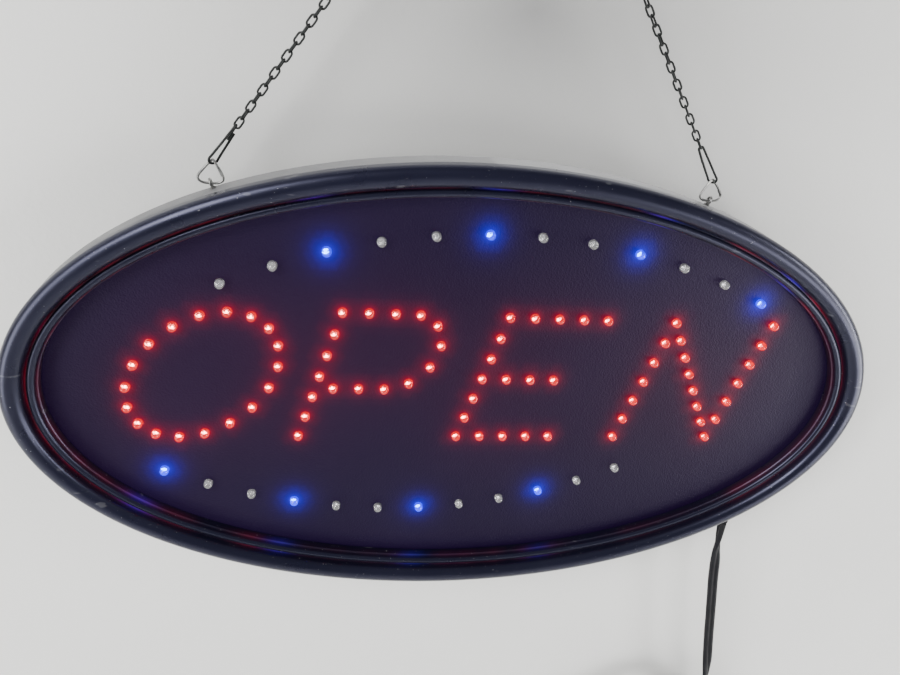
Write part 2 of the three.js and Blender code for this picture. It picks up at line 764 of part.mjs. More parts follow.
function flatSection() {
  const shape = new THREE.Shape();
  for (let i = 0; i < CORD_SIDES; i++) {
    const angle = (2 * Math.PI * (i + 0.5)) / CORD_SIDES;
    const x = (CORD_THICK / 2) * Math.cos(angle);
    const y = (CORD_WIDTH / 2) * Math.sin(angle);
    shape[i ? "lineTo" : "moveTo"](x, y);
  }
  shape.closePath();
  return shape;
}

function cordTube(route, steps) {
  const curve = new THREE.CatmullRomCurve3(route.map(([x, z]) => new THREE.Vector3(x, CORD_Y, z)));
  const options = { extrudePath: curve, steps, bevelEnabled: false };
  return toSolid(new THREE.ExtrudeGeometry(flatSection(), options));
}

function strainRelief() {
  const neck = bar(down(RELIEF.top), down(RELIEF.wallZ), RELIEF.neck, 10);
  const sleeve = bar(down(RELIEF.wallZ - 0.6), down(RELIEF.foot), RELIEF.thick, 10, RELIEF.thin);
  return joined([neck, sleeve, bar(down(RELIEF.wallZ + 0.1), down(RELIEF.wallZ - 1), RELIEF.neck, 10)]);
}

function cordCoil() {
  const low = COIL.radius - COIL.width / 2;
  const high = COIL.radius + COIL.width / 2;
  const side = COIL.depth / 2;
  const edge = 2;
  const profile = [
    [low, -side + edge],
    [low + edge, -side],
    [high - edge, -side],
    [high, -side + edge],
    [high, side - edge],
    [high - edge, side],
    [low + edge, side],
    [low, side - edge],
    [low, -side + edge],
  ].map(([radius, depth]) => new THREE.Vector2(radius, depth));
  const ring = new THREE.LatheGeometry(profile, COIL.steps);
  return toSolid(ring.translate(COIL.x, CORD_Y, COIL.z));
}

function cordTie() {
  const gap = 2 * GAP;
  const outer = [COIL.width + 2 * TIE.thick + gap, COIL.depth + 2 * TIE.thick + gap, TIE.wide];
  const band = new THREE.BoxGeometry(...outer);
  const hollow = new THREE.BoxGeometry(COIL.width + gap, COIL.depth + gap, TIE.wide + 2);
  const angle = THREE.MathUtils.degToRad(TIE.angle);
  const place = (geometry) =>
    toSolid(geometry.translate(COIL.radius, 0, 0).rotateY(-angle).translate(COIL.x, CORD_Y, COIL.z));
  return place(band).subtract(place(hollow));
}

function plugBody() {
  const top = TAIL.to - GAP;
  const shape = new THREE.Shape();
  shape.moveTo(-PLUG.neck / 2, top);
  shape.lineTo(PLUG.neck / 2, top);
  shape.quadraticCurveTo(PLUG.neck / 2, top - 8, PLUG.width / 2, top - 12);
  shape.lineTo(PLUG.width / 2, top - PLUG.height);
  shape.lineTo(-PLUG.width / 2, top - PLUG.height);
  shape.lineTo(-PLUG.width / 2, top - 12);
  shape.quadraticCurveTo(-PLUG.neck / 2, top - 8, -PLUG.neck / 2, top);
  const options = { depth: PLUG.depth - 4, bevelEnabled: true, bevelThickness: 2, bevelSize: 1, bevelOffset: -1 };
  const geometry = new THREE.ExtrudeGeometry(shape, { ...options, bevelSegments: 1, curveSegments: 4 });
  geometry.translate(0, 0, 2 - PLUG.depth / 2).rotateX(Math.PI / 2);
  return geometry.translate(TAIL.x, CORD_Y, 0);
}

function plug() {
  const body = toSolid(plugBody());
  const slots = [-1, 1].map((side) => blade(side, GAP));
  return cut(body, slots);
}

function blade(side, clearance) {
  const seat = 6;
  const bottom = TAIL.to - GAP - PLUG.height;
  const height = BLADE.long + seat + clearance;
  const x = TAIL.x + (side * PLUG.bladeGap) / 2;
  const z = bottom - BLADE.long + height / 2;
  return block(BLADE.thick + 2 * clearance, BLADE.wide + 2 * clearance, height, x, CORD_Y, z);
}

// ---- assembly ----

const nailRing = new THREE.TorusGeometry(NAIL_RING_RADIUS, NAIL_RING_WIRE, 8, 24).rotateX(Math.PI / 2);
nailRing.translate(nailRingCentre.x, nailRingCentre.y, nailRingCentre.z);
add(root, "hanging_ring", toSolid(nailRing), "blackWire");
hangingWires("left", hangingSide(EYE_LEFT_X));
hangingWires("right", hangingSide(EYE_RIGHT_X));

add(sign, "front_frame", frontFrame(), "bezel");
add(sign, "face_panel", facePanel(), "panel");
add(sign, "rear_shell", rearShell(), "housing");
for (const [name, runs] of Object.entries(lampStrings)) add(sign, name, lampString(runs), "lamp");
screwPlaces.forEach((place, i) =>
  add(sign, "shell_screw_" + (i + 1), screw(place, SHELL_BACK - GAP), "steel"),
);

add(sign, "power_box", powerBox(), "housing");
boxScrewPlaces.forEach((place, i) =>
  add(sign, "box_screw_" + (i + 1), screw(place, BOX_FRONT + 5.5), "steel"),
);
add(sign, "control_board", onBoard(102, 1.6, 50, 0, 0, BOX_FRONT + 0.6), "board");
add(sign, "transformer_core", transformerCore(), "steel");
add(sign, "transformer_winding", transformerWinding(), "copper");
add(sign, "filter_capacitor", canOnBoard(4.3, 18, 10, -14), "dark");
add(sign, "bridge_rectifier", onBoard(9, 7, 4, 8, 2), "dark");
add(sign, "controller_chip", onBoard(19, 3.3, 6.6, 34, -2), "dark");
add(sign, "fuse", canOnBoard(2.4, 15, 8.8, 16), "brass");
const { width: blockWidth, thick, height: blockHeight } = TERMINALS;
add(sign, "terminal_block", onBoard(blockWidth, thick, blockHeight, TERMINALS.x, TERMINALS.z), "board");
add(sign, "lamp_harness", innerWire(harnessRoute, 1.1), "dark");
add(sign, "mains_feed", innerWire(mainsRoute, 1.3), "dark");
add(sign, "switch_feed", innerWire(switchRoute, 1.1), "dark");
add(sign, "mode_feed", innerWire(modeRoute, 1.1), "dark");

for (const [name, place] of Object.entries(switchPlaces)) {
  add(sign, name + "_switch", switchBody(place), "dark");
  add(sign, name + "_rocker", rocker(place), "dark");
}

add(sign, "strain_relief", strainRelief(), "cordBlack");
add(sign, "mains_cord", cordTube(CORD_ROUTE, 16), "cordBlack");
add(sign, "cord_coil", cordCoil(), "cordBlack");
add(sign, "cord_tail", cordTube([[TAIL.x, TAIL.from], [TAIL.x, TAIL.to]], 2), "cordBlack");
add(sign, "cord_tie", cordTie(), "dark");
add(sign, "plug_body", plug(), "cordBlack");
add(sign, "plug_blade_left", blade(-1, 0), "brass");
add(sign, "plug_blade_right", blade(1, 0), "brass");

export default root;
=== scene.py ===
import math
import random

import bmesh
import bpy
import numpy as np
from mathutils import Matrix, Quaternion, Vector
from mathutils.geometry import delaunay_2d_cdt


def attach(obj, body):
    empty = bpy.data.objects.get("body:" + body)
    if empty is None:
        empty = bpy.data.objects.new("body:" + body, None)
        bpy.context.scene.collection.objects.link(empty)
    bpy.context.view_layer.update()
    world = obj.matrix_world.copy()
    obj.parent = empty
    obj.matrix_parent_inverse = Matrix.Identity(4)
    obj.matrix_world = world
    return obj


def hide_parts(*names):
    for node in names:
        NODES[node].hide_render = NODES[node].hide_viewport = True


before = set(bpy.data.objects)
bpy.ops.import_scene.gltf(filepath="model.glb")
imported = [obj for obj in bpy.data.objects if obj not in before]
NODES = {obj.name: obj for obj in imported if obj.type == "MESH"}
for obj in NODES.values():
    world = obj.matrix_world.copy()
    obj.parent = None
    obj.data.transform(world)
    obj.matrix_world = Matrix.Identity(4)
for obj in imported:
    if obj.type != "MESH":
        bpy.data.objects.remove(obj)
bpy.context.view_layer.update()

MM = 0.001

# The sign's own frame starts at the oval's centre, in millimetres, with y from the panel's front.
SIGN = Vector((9.0, -5.1, -312.0))
HALF_WIDTH, HALF_HEIGHT = 241.5, 133.5
BEZEL_BACK = -4.7
PANEL_THICK = 2.0
SHELL_BACK = 10.0
OVAL_STEPS = 288

# The camera that fits the photograph: azimuth, elevation and roll in degrees, place in the sign's own frame.
CAMERA_ANGLES = (-11.47, 26.95, 6.75)
CAMERA_PLACE = (-84.99, -346.42, 216.0)
CAMERA_LENS = 29.19

# Lamp layout, as in the frame.
SLANT, LETTER_MID, LETTER_HALF, STEM_LAMPS, ROW_PITCH = 0.28, 10.9, 38.8, 7, 14.0
P_STEM, E_STEM, N_STEM, N_WIDTH = -83.9, 6.2, 103.0, 60.6
O_RING = {"x": -144.8, "z": 9.6, "radius": 37.0, "half": 38.4, "slant": 0.37, "start": 110.6, "count": 18}
P_BOWL = {"u": -46.4, "z": 26.6, "radius": 22.0, "half": 23.2, "start": 80.0, "step": 34.0, "count": 6}
BORDER_COUNT = 12
LAMP_RADIUS, LAMP_TOP, LAMP_HOLE = 2.4, -4.6, 2.6
BLUE_LIT = {"top": (2, 5, 8, 11), "bottom": (0, 3, 6, 9)}

EYES = {"left": -136.0, "right": 116.0}
EYE_STAND, DROP_HEIGHT, DROP_LEAN = 2.6, 10.8, 1.2
NAIL_RING = 5.8
TOP_LINK_LENGTH, CONNECTOR_LENGTH = 5.0, 19.0
SNAP_TURN, SNAP_TWIST = 48.0, 30.0
LINK_PITCH, LINK_RADIUS, LINK_WIRE, LINK_LAP = 4.7, 1.5, 0.52, 1.96
# Where the chain ends under the top loop's lower centre. At 1.25 the last link cut into the loop when swung.
CHAIN_END = 1.05
WIRE_SHARP = 60

BOX = {"x": -116.0, "z": -2.0, "width": 124.0, "height": 74.0, "depth": 14.0, "front": 10.3}
SWITCHES = {"power": 30.0, "mode": -10.0}
CORD_Y = 4.7
RELIEF = {"x": 190.6, "top": -76.0, "wall": -84.0, "foot": -102.0}
COIL = {"x": 190.4, "z": -314.7, "outer": 45.9, "inner": 35.1, "pitch": 3.6}
TAIL_X, TAIL_END = 236.3, -366.0
CORD_ROUTE = [
    (190.6, -102.1), (191, -109), (191.7, -115.5), (192.5, -122.4), (193.7, -130), (195.3, -137.4),
    (197.6, -149), (200.1, -160.8), (203, -173), (206, -186), (209.2, -200), (212.4, -214),
    (215.5, -227), (218.7, -240), (221.9, -253), (225.2, -266), (228.4, -279), (231.6, -291),
]


def row(x, y, z):
    """A point of the sign's own frame, in the row frame and in metres."""
    return (Vector((x, y, z)) + SIGN) * MM


# ---- camera ----


def make_camera():
    azimuth, elevation, roll = (math.radians(a) for a in CAMERA_ANGLES)
    flat = math.cos(elevation)
    back = Vector((math.sin(azimuth) * flat, -math.cos(azimuth) * flat, math.sin(elevation)))
    right = (-back).cross(Vector((0, 0, 1))).normalized()
    up = right.cross(-back)
    turned_right = right * math.cos(roll) + up * math.sin(roll)
    turned_up = up * math.cos(roll) - right * math.sin(roll)
    data = bpy.data.cameras.new("camera")
    data.sensor_width = 36.0
    data.lens = CAMERA_LENS
    data.clip_start = 0.01
    camera = bpy.data.objects.new("camera", data)
    bpy.context.scene.collection.objects.link(camera)
    turn = Matrix((turned_right, turned_up, back)).transposed()
    camera.matrix_world = Matrix.Translation(row(*CAMERA_PLACE)) @ turn.to_4x4()
    bpy.context.scene.camera = camera


make_camera()


# ---- mesh helpers ----


def mesh_object(name, verts, faces, materials, face_slots=None, sharp=40.0):
    mesh = bpy.data.meshes.new(name)
    mesh.from_pydata([tuple(v) for v in verts], [], faces)
    for made in materials:
        mesh.materials.append(made)
    if face_slots is not None:
        mesh.polygons.foreach_set("material_index", face_slots)
    bm = bmesh.new()
    bm.from_mesh(mesh)
    bmesh.ops.remove_doubles(bm, verts=bm.verts, dist=1e-7)
    bmesh.ops.recalc_face_normals(bm, faces=bm.faces)
    bm.to_mesh(mesh)
    bm.free()
    mesh.polygons.foreach_set("use_smooth", [True] * len(mesh.polygons))
    mesh.set_sharp_from_angle(angle=math.radians(sharp))
    made_object = bpy.data.objects.new(name, mesh)
    bpy.context.scene.collection.objects.link(made_object)
    return made_object


class Shape:
    """Vertices, faces and each face's material number, gathered from several pieces."""

    def __init__(self):
        self.verts, self.faces, self.slots = [], [], []

    def add(self, verts, faces, slot=0):
        start = len(self.verts)
        self.verts += list(verts)
        self.faces += [[i + start for i in face] for face in faces]
        self.slots += [slot] * len(faces)

    def make(self, name, materials, sharp=40.0):
        return mesh_object(name, self.verts, self.faces, materials, self.slots, sharp)


def grid_faces(rings, sides, closed_rings=False, closed_sides=True):
    faces = []
    for i in range(rings if closed_rings else rings - 1):
        after = (i + 1) % rings
        for j in range(sides if closed_sides else sides - 1):
            beside = (j + 1) % sides
            faces.append([i * sides + j, i * sides + beside, after * sides + beside, after * sides + j])
    return faces


def sweep(points, section, closed=False, normal=None, roll=None):
    """A section of (across, off) points carried along a line of points."""
    points = [Vector(p) for p in points]
    count = len(points)
    verts = []
    side = Vector(normal) if normal else None
    for i, point in enumerate(points):
        ahead = points[(i + 1) % count] if closed or i < count - 1 else point
        behind = points[i - 1] if closed or i else point
        along = (ahead - behind).normalized()
        if side is None:
            side = along.orthogonal()
        side = (side - along * side.dot(along)).normalized()
        turned = Quaternion(along, roll[i]) @ side if roll else side
        other = along.cross(turned)
        verts += [point + turned * a + other * b for a, b in section]
    sides = len(section)
    faces = grid_faces(count, sides, closed_rings=closed)
    if not closed:
        faces += end_caps(count, sides)
    return verts, faces


def end_caps(count, sides):
    """The two end faces of a tube of count rings."""
    return [list(range(sides))[::-1], [(count - 1) * sides + j for j in range(sides)]]


def in_metres(profile):
    return [(across * MM, along * MM) for across, along in profile]


def round_section(radius, sides=12):
    return [
        (radius * math.cos(2 * math.pi * i / sides), radius * math.sin(2 * math.pi * i / sides))
        for i in range(sides)
    ]


def lathe(profile, centre, axis, sides=32):
    """A turned solid whose profile points are (radius, distance along axis), with both ends on the axis."""
    axis = Vector(axis).normalized()
    across = axis.orthogonal().normalized()
    other = axis.cross(across)
    verts, rings = [], []
    for radius, along in profile:
        base = Vector(centre) + axis * along
        if radius < 1e-9:
            rings.append([len(verts)])
            verts.append(base)
            continue
        rings.append(list(range(len(verts), len(verts) + sides)))
        for j in range(sides):
            angle = 2 * math.pi * j / sides
            verts.append(base + (across * math.cos(angle) + other * math.sin(angle)) * radius)
    faces = []
    for a, b in zip(rings, rings[1:]):
        for j in range(sides):
            k = (j + 1) % sides
            if len(a) == 1 and len(b) == 1:
                continue
            if len(a) == 1:
                faces.append([a[0], b[k], b[j]])
            elif len(b) == 1:
                faces.append([a[j], a[k], b[0]])
            else:
                faces.append([a[j], a[k], b[k], b[j]])
    return verts, faces


def arc(centre, radii, start, end, steps):
    """Points of an elliptic arc, angles in degrees."""
    points = []
    for i in range(steps + 1):
        angle = math.radians(start + (end - start) * i / steps)
        points.append((centre[0] + radii[0] * math.cos(angle), centre[1] + radii[1] * math.sin(angle)))
    return points


def smooth_line(points, per_span):
    """A Catmull-Rom line through points."""
    points = [Vector(p) for p in points]
    line = []
    for i in range(len(points) - 1):
        p0 = points[max(i - 1, 0)]
        p1, p2 = points[i], points[i + 1]
        p3 = points[min(i + 2, len(points) - 1)]
        for step in range(per_span):
            t = step / per_span
            line.append(
                0.5
                * (
                    2 * p1
                    + (p2 - p0) * t
                    + (2 * p0 - 5 * p1 + 4 * p2 - p3) * t * t
                    + (3 * p1 - p0 - 3 * p2 + p3) * t ** 3
                )
            )
    return line + [points[-1]]


def oval_ring(profile, steps=OVAL_STEPS, closed=True):
    """A profile of (inset, depth) points carried round the oval."""
    verts = []
    for i in range(steps):
        angle = 2 * math.pi * i / steps
        for inset, depth in profile:
            x = (HALF_WIDTH - inset) * math.cos(angle)
            z = (HALF_HEIGHT - inset) * math.sin(angle)
            verts.append(row(x, depth, z))
    return verts, grid_faces(steps, len(profile), closed_rings=True, closed_sides=closed)


def keep_result(piece, sharp):
    """Leaves the result of the piece's modifiers in its mesh."""
    depsgraph = bpy.context.evaluated_depsgraph_get()
    mesh = bpy.data.meshes.new_from_object(piece.evaluated_get(depsgraph))
    piece.modifiers.clear()
    piece.data = mesh
    mesh.polygons.foreach_set("use_smooth", [True] * len(mesh.polygons))
    mesh.set_sharp_from_angle(angle=math.radians(sharp))


def subtract(target, cutters):
    """Cuts the cutters' solids out of target and removes them."""
    for cutter in cutters:
        modifier = target.modifiers.new("cut", "BOOLEAN")
        modifier.operation = "DIFFERENCE"
        modifier.solver = "EXACT"
        modifier.object = cutter
    keep_result(target, 40.0)
    for cutter in cutters:
        bpy.data.objects.remove(cutter)


def soften(piece, width, segments=3, angle=30.0):
    """Rounds a piece's edges and leaves the result in its mesh."""
    modifier = piece.modifiers.new("round", "BEVEL")
    modifier.width = width
    modifier.segments = segments
    modifier.limit_method = "ANGLE"
    modifier.angle_limit = math.radians(angle)
    modifier.harden_normals = False
    keep_result(piece, 50.0)


# ---- materials ----


def add_node(tree, kind, inputs=None, **settings):
    node = tree.nodes.new(kind)
    for key, value in settings.items():
        setattr(node, key, value)
    for key, value in (inputs or {}).items():
        if isinstance(value, bpy.types.NodeSocket):
            tree.links.new(value, node.inputs[key])
        else:
            node.inputs[key].default_value = value
    return node


def noise(tree, scale, detail=3.0, stretch=None, roughness=0.5):
    """Noise in the row frame; scale is features per metre."""
    where = add_node(tree, "ShaderNodeTexCoord").outputs["Object"]
    if stretch:
        where = add_node(tree, "ShaderNodeMapping", {"Vector": where, "Scale": stretch}).outputs["Vector"]
    inputs = {"Vector": where, "Scale": scale, "Detail": detail, "Roughness": roughness}
    return add_node(tree, "ShaderNodeTexNoise", inputs).outputs["Fac"]


def remap(tree, value, low, high, to_low, to_high):
    inputs = {"Value": value, "From Min": low, "From Max": high, "To Min": to_low, "To Max": to_high}
    return add_node(tree, "ShaderNodeMapRange", inputs).outputs["Result"]


def mix_colour(tree, factor, first, second):
    node = add_node(tree, "ShaderNodeMix", data_type="RGBA")
    for key, value in ((0, factor), (6, first), (7, second)):
        if isinstance(value, bpy.types.NodeSocket):
            tree.links.new(value, node.inputs[key])
        else:
            node.inputs[key].default_value = value
    return node.outputs[2]


def rgba(colour):
    return (*colour, 1.0)


def moulded(name, dark, light, roughness, grain, bump, metallic=0.0, specks=0.0, scuffs=0.0,
            tone_scale=9.0, speck_colour=(0.5, 0.5, 0.52), patchy=0.18, settings=None):
    """A finish with slow colour drift, fine grain, specks of dust and thin scuffs.
    grain is the grain's size in millimetres and bump its depth in millimetres."""
    made = bpy.data.materials.new(name)
    made.use_nodes = True
    tree = made.node_tree
    shader = tree.nodes["Principled BSDF"]
    tone = remap(tree, noise(tree, tone_scale, 4.0), 0.35, 0.65, 0.0, 1.0)
    colour = mix_colour(tree, tone, rgba(dark), rgba(light))
    fine = noise(tree, 1000.0 / grain, 2.0)
    rough = remap(tree, noise(tree, 60.0, 5.0), 0.3, 0.7, roughness * (1 - patchy), roughness * (1 + patchy))
    if specks:
        dots = remap(tree, noise(tree, 900.0, 2.0), 0.74 - 0.1 * specks, 0.8 - 0.1 * specks, 0.0, 0.5)
        colour = mix_colour(tree, dots, colour, rgba(speck_colour))
    height = remap(tree, fine, 0.3, 0.7, 0.0, 1.0)
    if scuffs:
        lines = noise(tree, 150.0, 2.0, stretch=(0.4, 1.0, 1.6))
        thin = remap(tree, lines, 0.7, 0.74, 0.0, scuffs)
        colour = mix_colour(tree, thin, colour, rgba(speck_colour))
    relief = add_node(tree, "ShaderNodeBump", {"Height": height, "Strength": 1.0, "Distance": bump * MM})
    tree.links.new(colour, shader.inputs["Base Color"])
    tree.links.new(rough, shader.inputs["Roughness"])
    tree.links.new(relief.outputs["Normal"], shader.inputs["Normal"])
    shader.inputs["Metallic"].default_value = metallic
    for key, value in (settings or {}).items():
        shader.inputs[key].default_value = value
    return made


def lamp_material(name, colour, transmission, roughness, glow=None, strength=0.0):
    made = moulded(name, colour, tuple(min(1.0, c * 1.06) for c in colour), roughness, 0.6, 0.004)
    shader = made.node_tree.nodes["Principled BSDF"]
    shader.inputs["Transmission Weight"].default_value = transmission
    shader.inputs["IOR"].default_value = 1.5
    if glow:
        shader.inputs["Emission Color"].default_value = rgba(glow)
        shader.inputs["Emission Strength"].default_value = strength
    return made


def add_painted_glow(made, strength):
    """Adds the painted light that the mesh's glow colour holds, as emission: the lamps' painted glow on the
    plastic round them, and on the bezel their painted reflections.
    """
    tree = made.node_tree
    shader = tree.nodes["Principled BSDF"]
    glow = add_node(tree, "ShaderNodeVertexColor", layer_name="glow").outputs["Color"]
    tree.links.new(glow, shader.inputs["Emission Color"])
    shader.inputs["Emission Strength"].default_value = strength
    return made


def bezel_material():
    """Satin black plastic with a blue cast, and the painted lamp reflections that the mesh's glow colour holds,
    shown as emission.
    """
    made = moulded("bezel_plastic", (0.003, 0.003, 0.009), (0.005, 0.005, 0.013), 0.3, 0.35, 0.004,
                   specks=0.15, scuffs=0.08, patchy=0.12, settings={"Specular Tint": (0.66, 0.68, 1.0, 1.0)})
    return add_painted_glow(made, 1.0)


def panel_material():
    """Pebbled dark plastic with a painted glow of lamp light round each lit lamp and a faint painted purple-blue
    glow all over, both from the mesh's glow colour.
    """
    made = moulded("panel_plastic", (0.0035, 0.002, 0.008), (0.0065, 0.004, 0.013), 0.46, 0.9, 0.12,
                   tone_scale=5.0, patchy=0.02,
                   settings={"Specular IOR Level": 0.18, "Specular Tint": (0.8, 0.72, 1.0, 1.0)})
    return add_painted_glow(made, 1.0)


MATERIALS = {
    "bezel": bezel_material(),
    "housing": moulded("housing_plastic", (0.125, 0.125, 0.13), (0.15, 0.15, 0.155), 0.5, 0.5, 0.02),
    "steel": moulded("steel_wire", (0.2, 0.2, 0.2), (0.32, 0.32, 0.31), 0.3, 0.3, 0.01, metallic=1.0,
                     tone_scale=200.0),
    "screws": moulded("screw_steel", (0.45, 0.45, 0.46), (0.6, 0.6, 0.6), 0.32, 0.3, 0.01, metallic=1.0,
                      tone_scale=200.0),
    "black_chain": moulded("black_chain", (0.003, 0.004, 0.004), (0.008, 0.010, 0.010), 0.4, 0.3, 0.01,
                           tone_scale=300.0, settings={"Specular IOR Level": 0.35}),
    "core": moulded("core_iron", (0.1, 0.1, 0.11), (0.16, 0.155, 0.15), 0.5, 0.4, 0.03, metallic=0.8,
                    tone_scale=60.0),
    "winding": moulded("winding_copper", (0.42, 0.2, 0.09), (0.5, 0.25, 0.12), 0.4, 0.3, 0.05, metallic=1.0),
    "board": moulded("board_green", (0.012, 0.06, 0.025), (0.02, 0.085, 0.035), 0.4, 0.5, 0.02,
                     tone_scale=120.0),
    "component": moulded("component_black", (0.012, 0.012, 0.013), (0.02, 0.02, 0.022), 0.55, 0.3, 0.02),
    "terminals": moulded("terminal_green", (0.03, 0.2, 0.07), (0.04, 0.24, 0.09), 0.45, 0.4, 0.02),
    "fuse": lamp_material("fuse_glass", (0.85, 0.9, 0.9), 0.8, 0.1),
    "inner_wires": moulded("wire_jacket", (0.13, 0.012, 0.012), (0.17, 0.02, 0.02), 0.45, 0.3, 0.01),
    "switch": moulded("switch_plastic", (0.014, 0.014, 0.015), (0.02, 0.02, 0.021), 0.3, 0.4, 0.01),
    "cord": moulded("cord_rubber", (0.003, 0.003, 0.005), (0.005, 0.005, 0.008), 0.6, 0.5, 0.02,
                    settings={"Specular IOR Level": 0.2}),
    "tie": moulded("tie_plastic", (0.02, 0.02, 0.02), (0.03, 0.03, 0.03), 0.5, 0.3, 0.02),
    "blades": moulded("blade_brass", (0.55, 0.5, 0.38), (0.66, 0.6, 0.47), 0.25, 0.3, 0.01, metallic=1.0,
                      tone_scale=150.0),
    "panel": panel_material(),
    "cup": moulded("lamp_cup", (0.75, 0.75, 0.77), (0.9, 0.9, 0.9), 0.22, 0.2, 0.01, metallic=0.9),
    "clear_lens": lamp_material("lens_clear", (0.93, 0.93, 0.95), 0.85, 0.05),
    "red_lens": lamp_material("lens_red_lit", (1.0, 0.12, 0.13), 0.88, 0.05, (1.0, 0.0, 0.003), 0.36),
    "blue_lens": lamp_material("lens_blue_lit", (0.08, 0.14, 1.0), 0.75, 0.08, (0.0, 0.0, 1.0), 0.8),
    "red_core": lamp_material("core_red_lit", (1.0, 0.8, 0.6), 0.0, 0.4, (1.0, 0.72, 0.5), 40.0),
    "blue_core": lamp_material("core_blue_lit", (0.8, 0.9, 1.0), 0.0, 0.4, (0.3, 0.75, 1.0), 18.0),
}

CARRIED = {
    "board": ["control_board"],
    "core": ["transformer_core"],
    "winding": ["transformer_winding"],
    "component": ["filter_capacitor", "bridge_rectifier", "controller_chip"],
    "terminals": ["terminal_block"],
    "fuse": ["fuse"],
    "inner_wires": ["lamp_harness", "mains_feed", "switch_feed", "mode_feed"],
    "blades": ["plug_blade_left", "plug_blade_right"],
}


def finish_carried_nodes():
    for finish, names in CARRIED.items():
        for name in names:
            mesh = NODES[name].data
            mesh.materials.clear()
            mesh.materials.append(MATERIALS[finish])


finish_carried_nodes()


def place(piece, body, slot_name, *nodes):
    """The piece rides on a body and stands for CAD nodes, which it hides. The slot name is not used."""
    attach(piece, body)
    if nodes:
        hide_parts(*nodes)
    return piece


# ---- mains lead ----


def twin_section():
    """A flat twin's outline: two round cores side by side with a web between them."""
    points = []
    reach, core, web = 1.7, 1.8, 1.2
    for i in range(32):
        angle = 2 * math.pi * (i + 0.5) / 32
        across, off = abs(math.cos(angle)), abs(math.sin(angle))
        lobe = reach * across + math.sqrt(max(core ** 2 - (reach * off) ** 2, 0.0))
        radius = max(lobe, min(web / max(off, 1e-6), reach + core))
        points.append((radius * math.cos(angle) * MM, radius * math.sin(angle) * MM))
    return points


def cord_line():
    """The lead's centre line and its turn about itself: down from the relief, round the coil, to the plug."""
    straight = smooth_line([Vector((x, CORD_Y, z)) for x, z in CORD_ROUTE], 6)
    column = 3.6
    for point in straight:
        t = min(max((-240.0 - point.z) / 52.0, 0.0), 1.0)
        point.y += column * t * t * (3 - 2 * t)
    turned = []
    for point in straight:
        t = min(max((-104.0 - point.z) / 42.0, 0.0), 1.0)
        back = min(max((-232.0 - point.z) / 58.0, 0.0), 1.0)
        turned.append(90.0 - 90.0 * t * t * (3 - 2 * t) + 90.0 * back * back * (3 - 2 * back))
    entry = 14.1
    turns = 6.0 + entry / 360.0
    steps = int(turns * 56)
    coil = []
    for i in range(steps + 1):
        t = turns * i / steps
        angle = math.radians(entry - 360.0 * t)
        radius = max(COIL["outer"] - COIL["pitch"] * t, COIL["inner"])
        if t > 4.0:
            radius = COIL["inner"] + (COIL["outer"] - COIL["inner"]) * (t - 4.0) / (turns - 4.0)
        change = min(max((t - 3.15) / 0.6, 0.0), 1.0)
        depth = CORD_Y + column * (1.0 - 2.0 * change * change * (3 - 2 * change))
        across, rise = radius * math.cos(angle), radius * math.sin(angle)
        coil.append(Vector((COIL["x"] + across, depth, COIL["z"] + rise)))
    tail = []
    tail_steps = 18
    for i in range(1, tail_steps + 1):
        t = i / tail_steps
        ease = t * t * (3 - 2 * t)
        tail.append(Vector((TAIL_X, CORD_Y - column * (1 - ease), COIL["z"] + (TAIL_END - COIL["z"]) * t)))
    line = straight + coil + tail
    angles = turned + [180.0] * len(coil)
    angles += [180.0 - 90.0 * (i / tail_steps) for i in range(1, tail_steps + 1)]
    return line, angles


def make_cord():
    """The wide axis starts along y, turns into the wall's plane, and turns back along y for the coil."""
    line, angles = cord_line()
    points = [row(*p) for p in line]
    verts = []
    section = twin_section()
    depth_axis = Vector((0, 1, 0))
    for i, point in enumerate(points):
        along = (points[min(i + 1, len(points) - 1)] - points[max(i - 1, 0)]).normalized()
        in_depth = (depth_axis - along * depth_axis.dot(along)).normalized()
        flat = along.cross(in_depth)
        angle = math.radians(angles[i])
        wide = flat * math.cos(angle) + in_depth * math.sin(angle)
        thin = along.cross(wide)
        verts += [point + wide * a + thin * b for a, b in section]
    sides, count = len(section), len(points)
    faces = grid_faces(count, sides) + end_caps(count, sides)
    cord = mesh_object("mains_lead", verts, faces, [MATERIALS["cord"]])
    return place(cord, "sign", "cord_jacket", "mains_cord", "cord_coil", "cord_tail"), points


def make_plug():
    """A moulded two-pin plug: a waisted body with grip ridges."""
    top = TAIL_END - 0.3
    outline = [(0.0, 5.0, 3.6), (2.0, 6.4, 4.6), (6.0, 7.6, 5.4), (10.0, 10.6, 6.8), (13.0, 11.7, 7.3),
               (15.0, 11.2, 6.7), (16.5, 11.9, 7.4), (18.0, 11.3, 6.8), (19.5, 11.9, 7.4), (21.0, 11.3, 6.8),
               (22.5, 12.0, 7.5), (28.6, 12.0, 7.5), (29.6, 11.5, 7.0), (30.0, 10.6, 6.2)]
    sides = 40
    verts = []
    for drop, wide, deep in outline:
        for j in range(sides):
            angle = 2 * math.pi * j / sides
            c, s = math.cos(angle), math.sin(angle)
            x = math.copysign(abs(c) ** 0.45, c) * wide
            y = math.copysign(abs(s) ** 0.45, s) * deep
            verts.append(row(TAIL_X + x, CORD_Y + y, top - drop))
    faces = grid_faces(len(outline), sides) + end_caps(len(outline), sides)
    plug = mesh_object("plug_moulding", verts, faces, [MATERIALS["cord"]])
    return place(plug, "sign", "plug_plastic", "plug_body")


